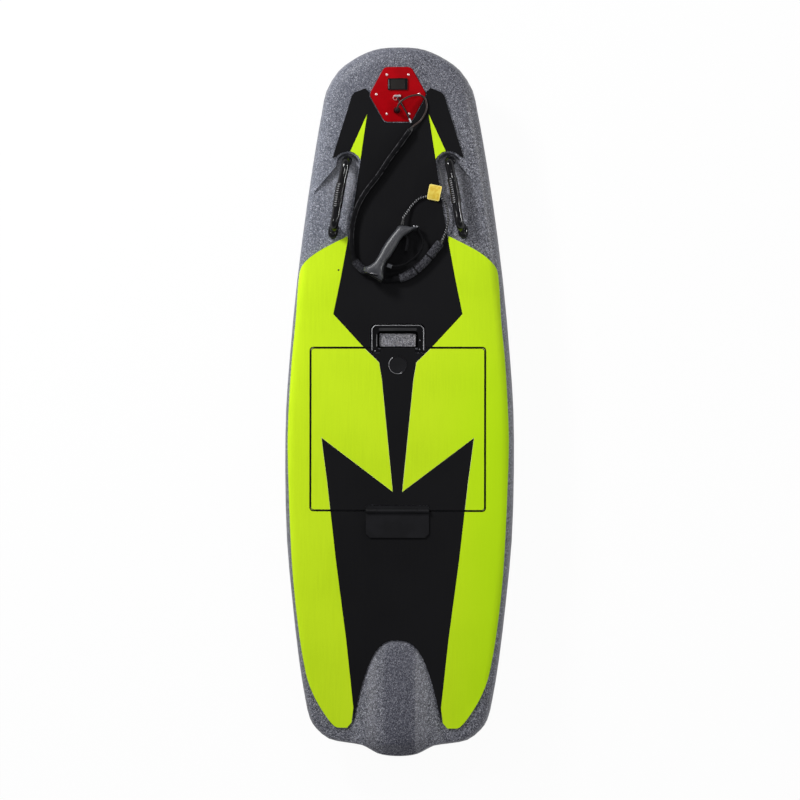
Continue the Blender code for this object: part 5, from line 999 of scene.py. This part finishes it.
# under the board: fin boxes, screws round the intake and a drain plug; and the port pad's vent
under = {
    "fall": 0.056, "finAt": (0.15, -0.7, 0.0467), "finPlate": ((0.013, 0.07), 0.01, 0.0018, 0.0006),
    "finScrews": 0.063, "screw": (0.0036, 0.0014),
    "intake": [(x, y) for y in (-0.49, -0.56, -0.63) for x in (-0.054, 0.054)],
    "intakeZ": 0.037, "intakeFront": -0.5, "intakeFall": 0.054,
    "plugAt": (0.12, -0.3, 0.0255), "plug": ((0.013, 0.013), 0.0129, 0.0024, 0.0008),
    "plugScrew": (0.0085, 0.0024),
    "ventAt": (-0.151, 0.3343, 0.1698), "vent": (0.0024, 0.0005),
}
slope = Matrix.Rotation(-atan2(under["fall"], 1), 4, "X") @ faceDown


def underside(x, y, z, below=0.0):
    return at(x, y, z, slope) @ at(0, 0, below)


x, y, z = under["finAt"]
plates("fin_boxes", [(underside(way * x, y, z), *under["finPlate"]) for way in (-1, 1)], "matte_black")
spots = [
    underside(way * x, y + dy, z - dy * under["fall"], under["finPlate"][2])
    for way in (-1, 1) for dy in (-under["finScrews"], under["finScrews"])]
front, fall = under["intakeFront"], under["intakeFall"]
spots += [underside(x, y, under["intakeZ"] - (y - front) * fall) for x, y in under["intake"]]
screws("underside_screws", spots, *under["screw"])
mesh = bmesh.new()
addPlate(mesh, underside(*under["plugAt"]), *under["plug"])
addScrew(mesh, underside(*under["plugAt"], under["plug"][2]), *under["plugScrew"])
finishPiece("drain_plug", mesh, "gloss_black", sharp=radians(40))
screws("pad_vent", [at(*under["ventAt"])], *under["vent"], "plug", slot="rubber")
print("underside dressed")


# stage: white floor that keeps a soft shadow, a studio darker overhead, and lamps, most of them from the bow
studio = {
    "horizon": (1, 1, 1), "overhead": (0.2, 0.2, 0.21), "darkens": (0.06, 0.36),
    "floorHalf": 14, "floorDrop": 0.0005, "floorGlow": 0.96, "aim": (0, 0, 0.1),
    "lamps": (
        # name, place, width, height and watts
        ("key", (-2.0, 2.6, 2.2), 0.7, 0.7, 112),
        ("rake", (-2.6, 0.5, 3.0), 0.25, 0.25, 17),
        ("fill", (2.2, -0.4, 3.2), 1.1, 1.1, 13),
        ("glint", (0.5, 1.6, 3.4), 0.25, 0.25, 16),
        ("edge", (2.8, 0.85, 1.15), 1.7, 0.1, 80),
    ),
}
mesh = bmesh.new()
bmesh.ops.create_grid(mesh, x_segments=1, y_segments=1, size=studio["floorHalf"])
floorData = bpy.data.meshes.new("floor")
mesh.to_mesh(floorData)
mesh.free()
floor = bpy.data.objects.new("floor", floorData)
floor.location.z = -studio["floorDrop"]
scene.collection.objects.link(floor)
ground = Finish("floor", Base_Color=(0.9, 0.9, 0.9), Roughness=0.9)
rays = [ground.add("ShaderNodeLightPath", {}, {}, name) for name in (
    "Is Camera Ray", "Is Glossy Ray", "Is Transmission Ray")]
seen = rays[0].most(rays[1]).most(rays[2])
glow = ground.add("ShaderNodeEmission", {}, {"Color": (1, 1, 1), "Strength": 1.0})
lit = Wire(ground, ground.shader.outputs[0])
blend = ground.add("ShaderNodeMixShader", {}, {0: seen * studio["floorGlow"], 1: lit, 2: glow})
below = ground.add("ShaderNodeNewGeometry", {}, {}, "Backfacing")
clear = ground.add("ShaderNodeBsdfTransparent", {}, {})  # so that the underside can be looked at
blend = ground.add("ShaderNodeMixShader", {}, {0: below, 1: blend, 2: clear})
ground.tree.links.new(blend.socket, ground.tree.nodes["Material Output"].inputs["Surface"])
floorData.materials.append(ground.material)

world = bpy.data.worlds.new("studio")
scene.world = world
world.use_nodes = True
sky = world.node_tree
facing, tilt = sky.nodes.new("ShaderNodeTexCoord"), sky.nodes.new("ShaderNodeSeparateXYZ")
blendUp, shade = sky.nodes.new("ShaderNodeMapRange"), sky.nodes.new("ShaderNodeMix")
blendUp.inputs[1].default_value, blendUp.inputs[2].default_value = studio["darkens"]
shade.data_type = "RGBA"
shade.inputs[6].default_value = (*studio["horizon"], 1)
shade.inputs[7].default_value = (*studio["overhead"], 1)
for a, b in (
    (facing.outputs["Generated"], tilt.inputs[0]), (tilt.outputs[2], blendUp.inputs[0]),
    (blendUp.outputs[0], shade.inputs[0]), (shade.outputs[2], sky.nodes["Background"].inputs[0]),
):
    sky.links.new(a, b)

for name, place, width, height, power in studio["lamps"]:
    lamp = bpy.data.lights.new(name, "AREA")
    lamp.energy = power
    lamp.shape = "RECTANGLE"
    lamp.size, lamp.size_y = width, height
    holder = bpy.data.objects.new(name, lamp)
    holder.location = place
    holder.rotation_euler = (Vector(studio["aim"]) - Vector(place)).to_track_quat("-Z", "Y").to_euler()
    holder.visible_diffuse = name != "edge"  # the low strip only draws an edge along what is glossy
    scene.collection.objects.link(holder)
scene.view_settings.view_transform = "Standard"
print("stage set")
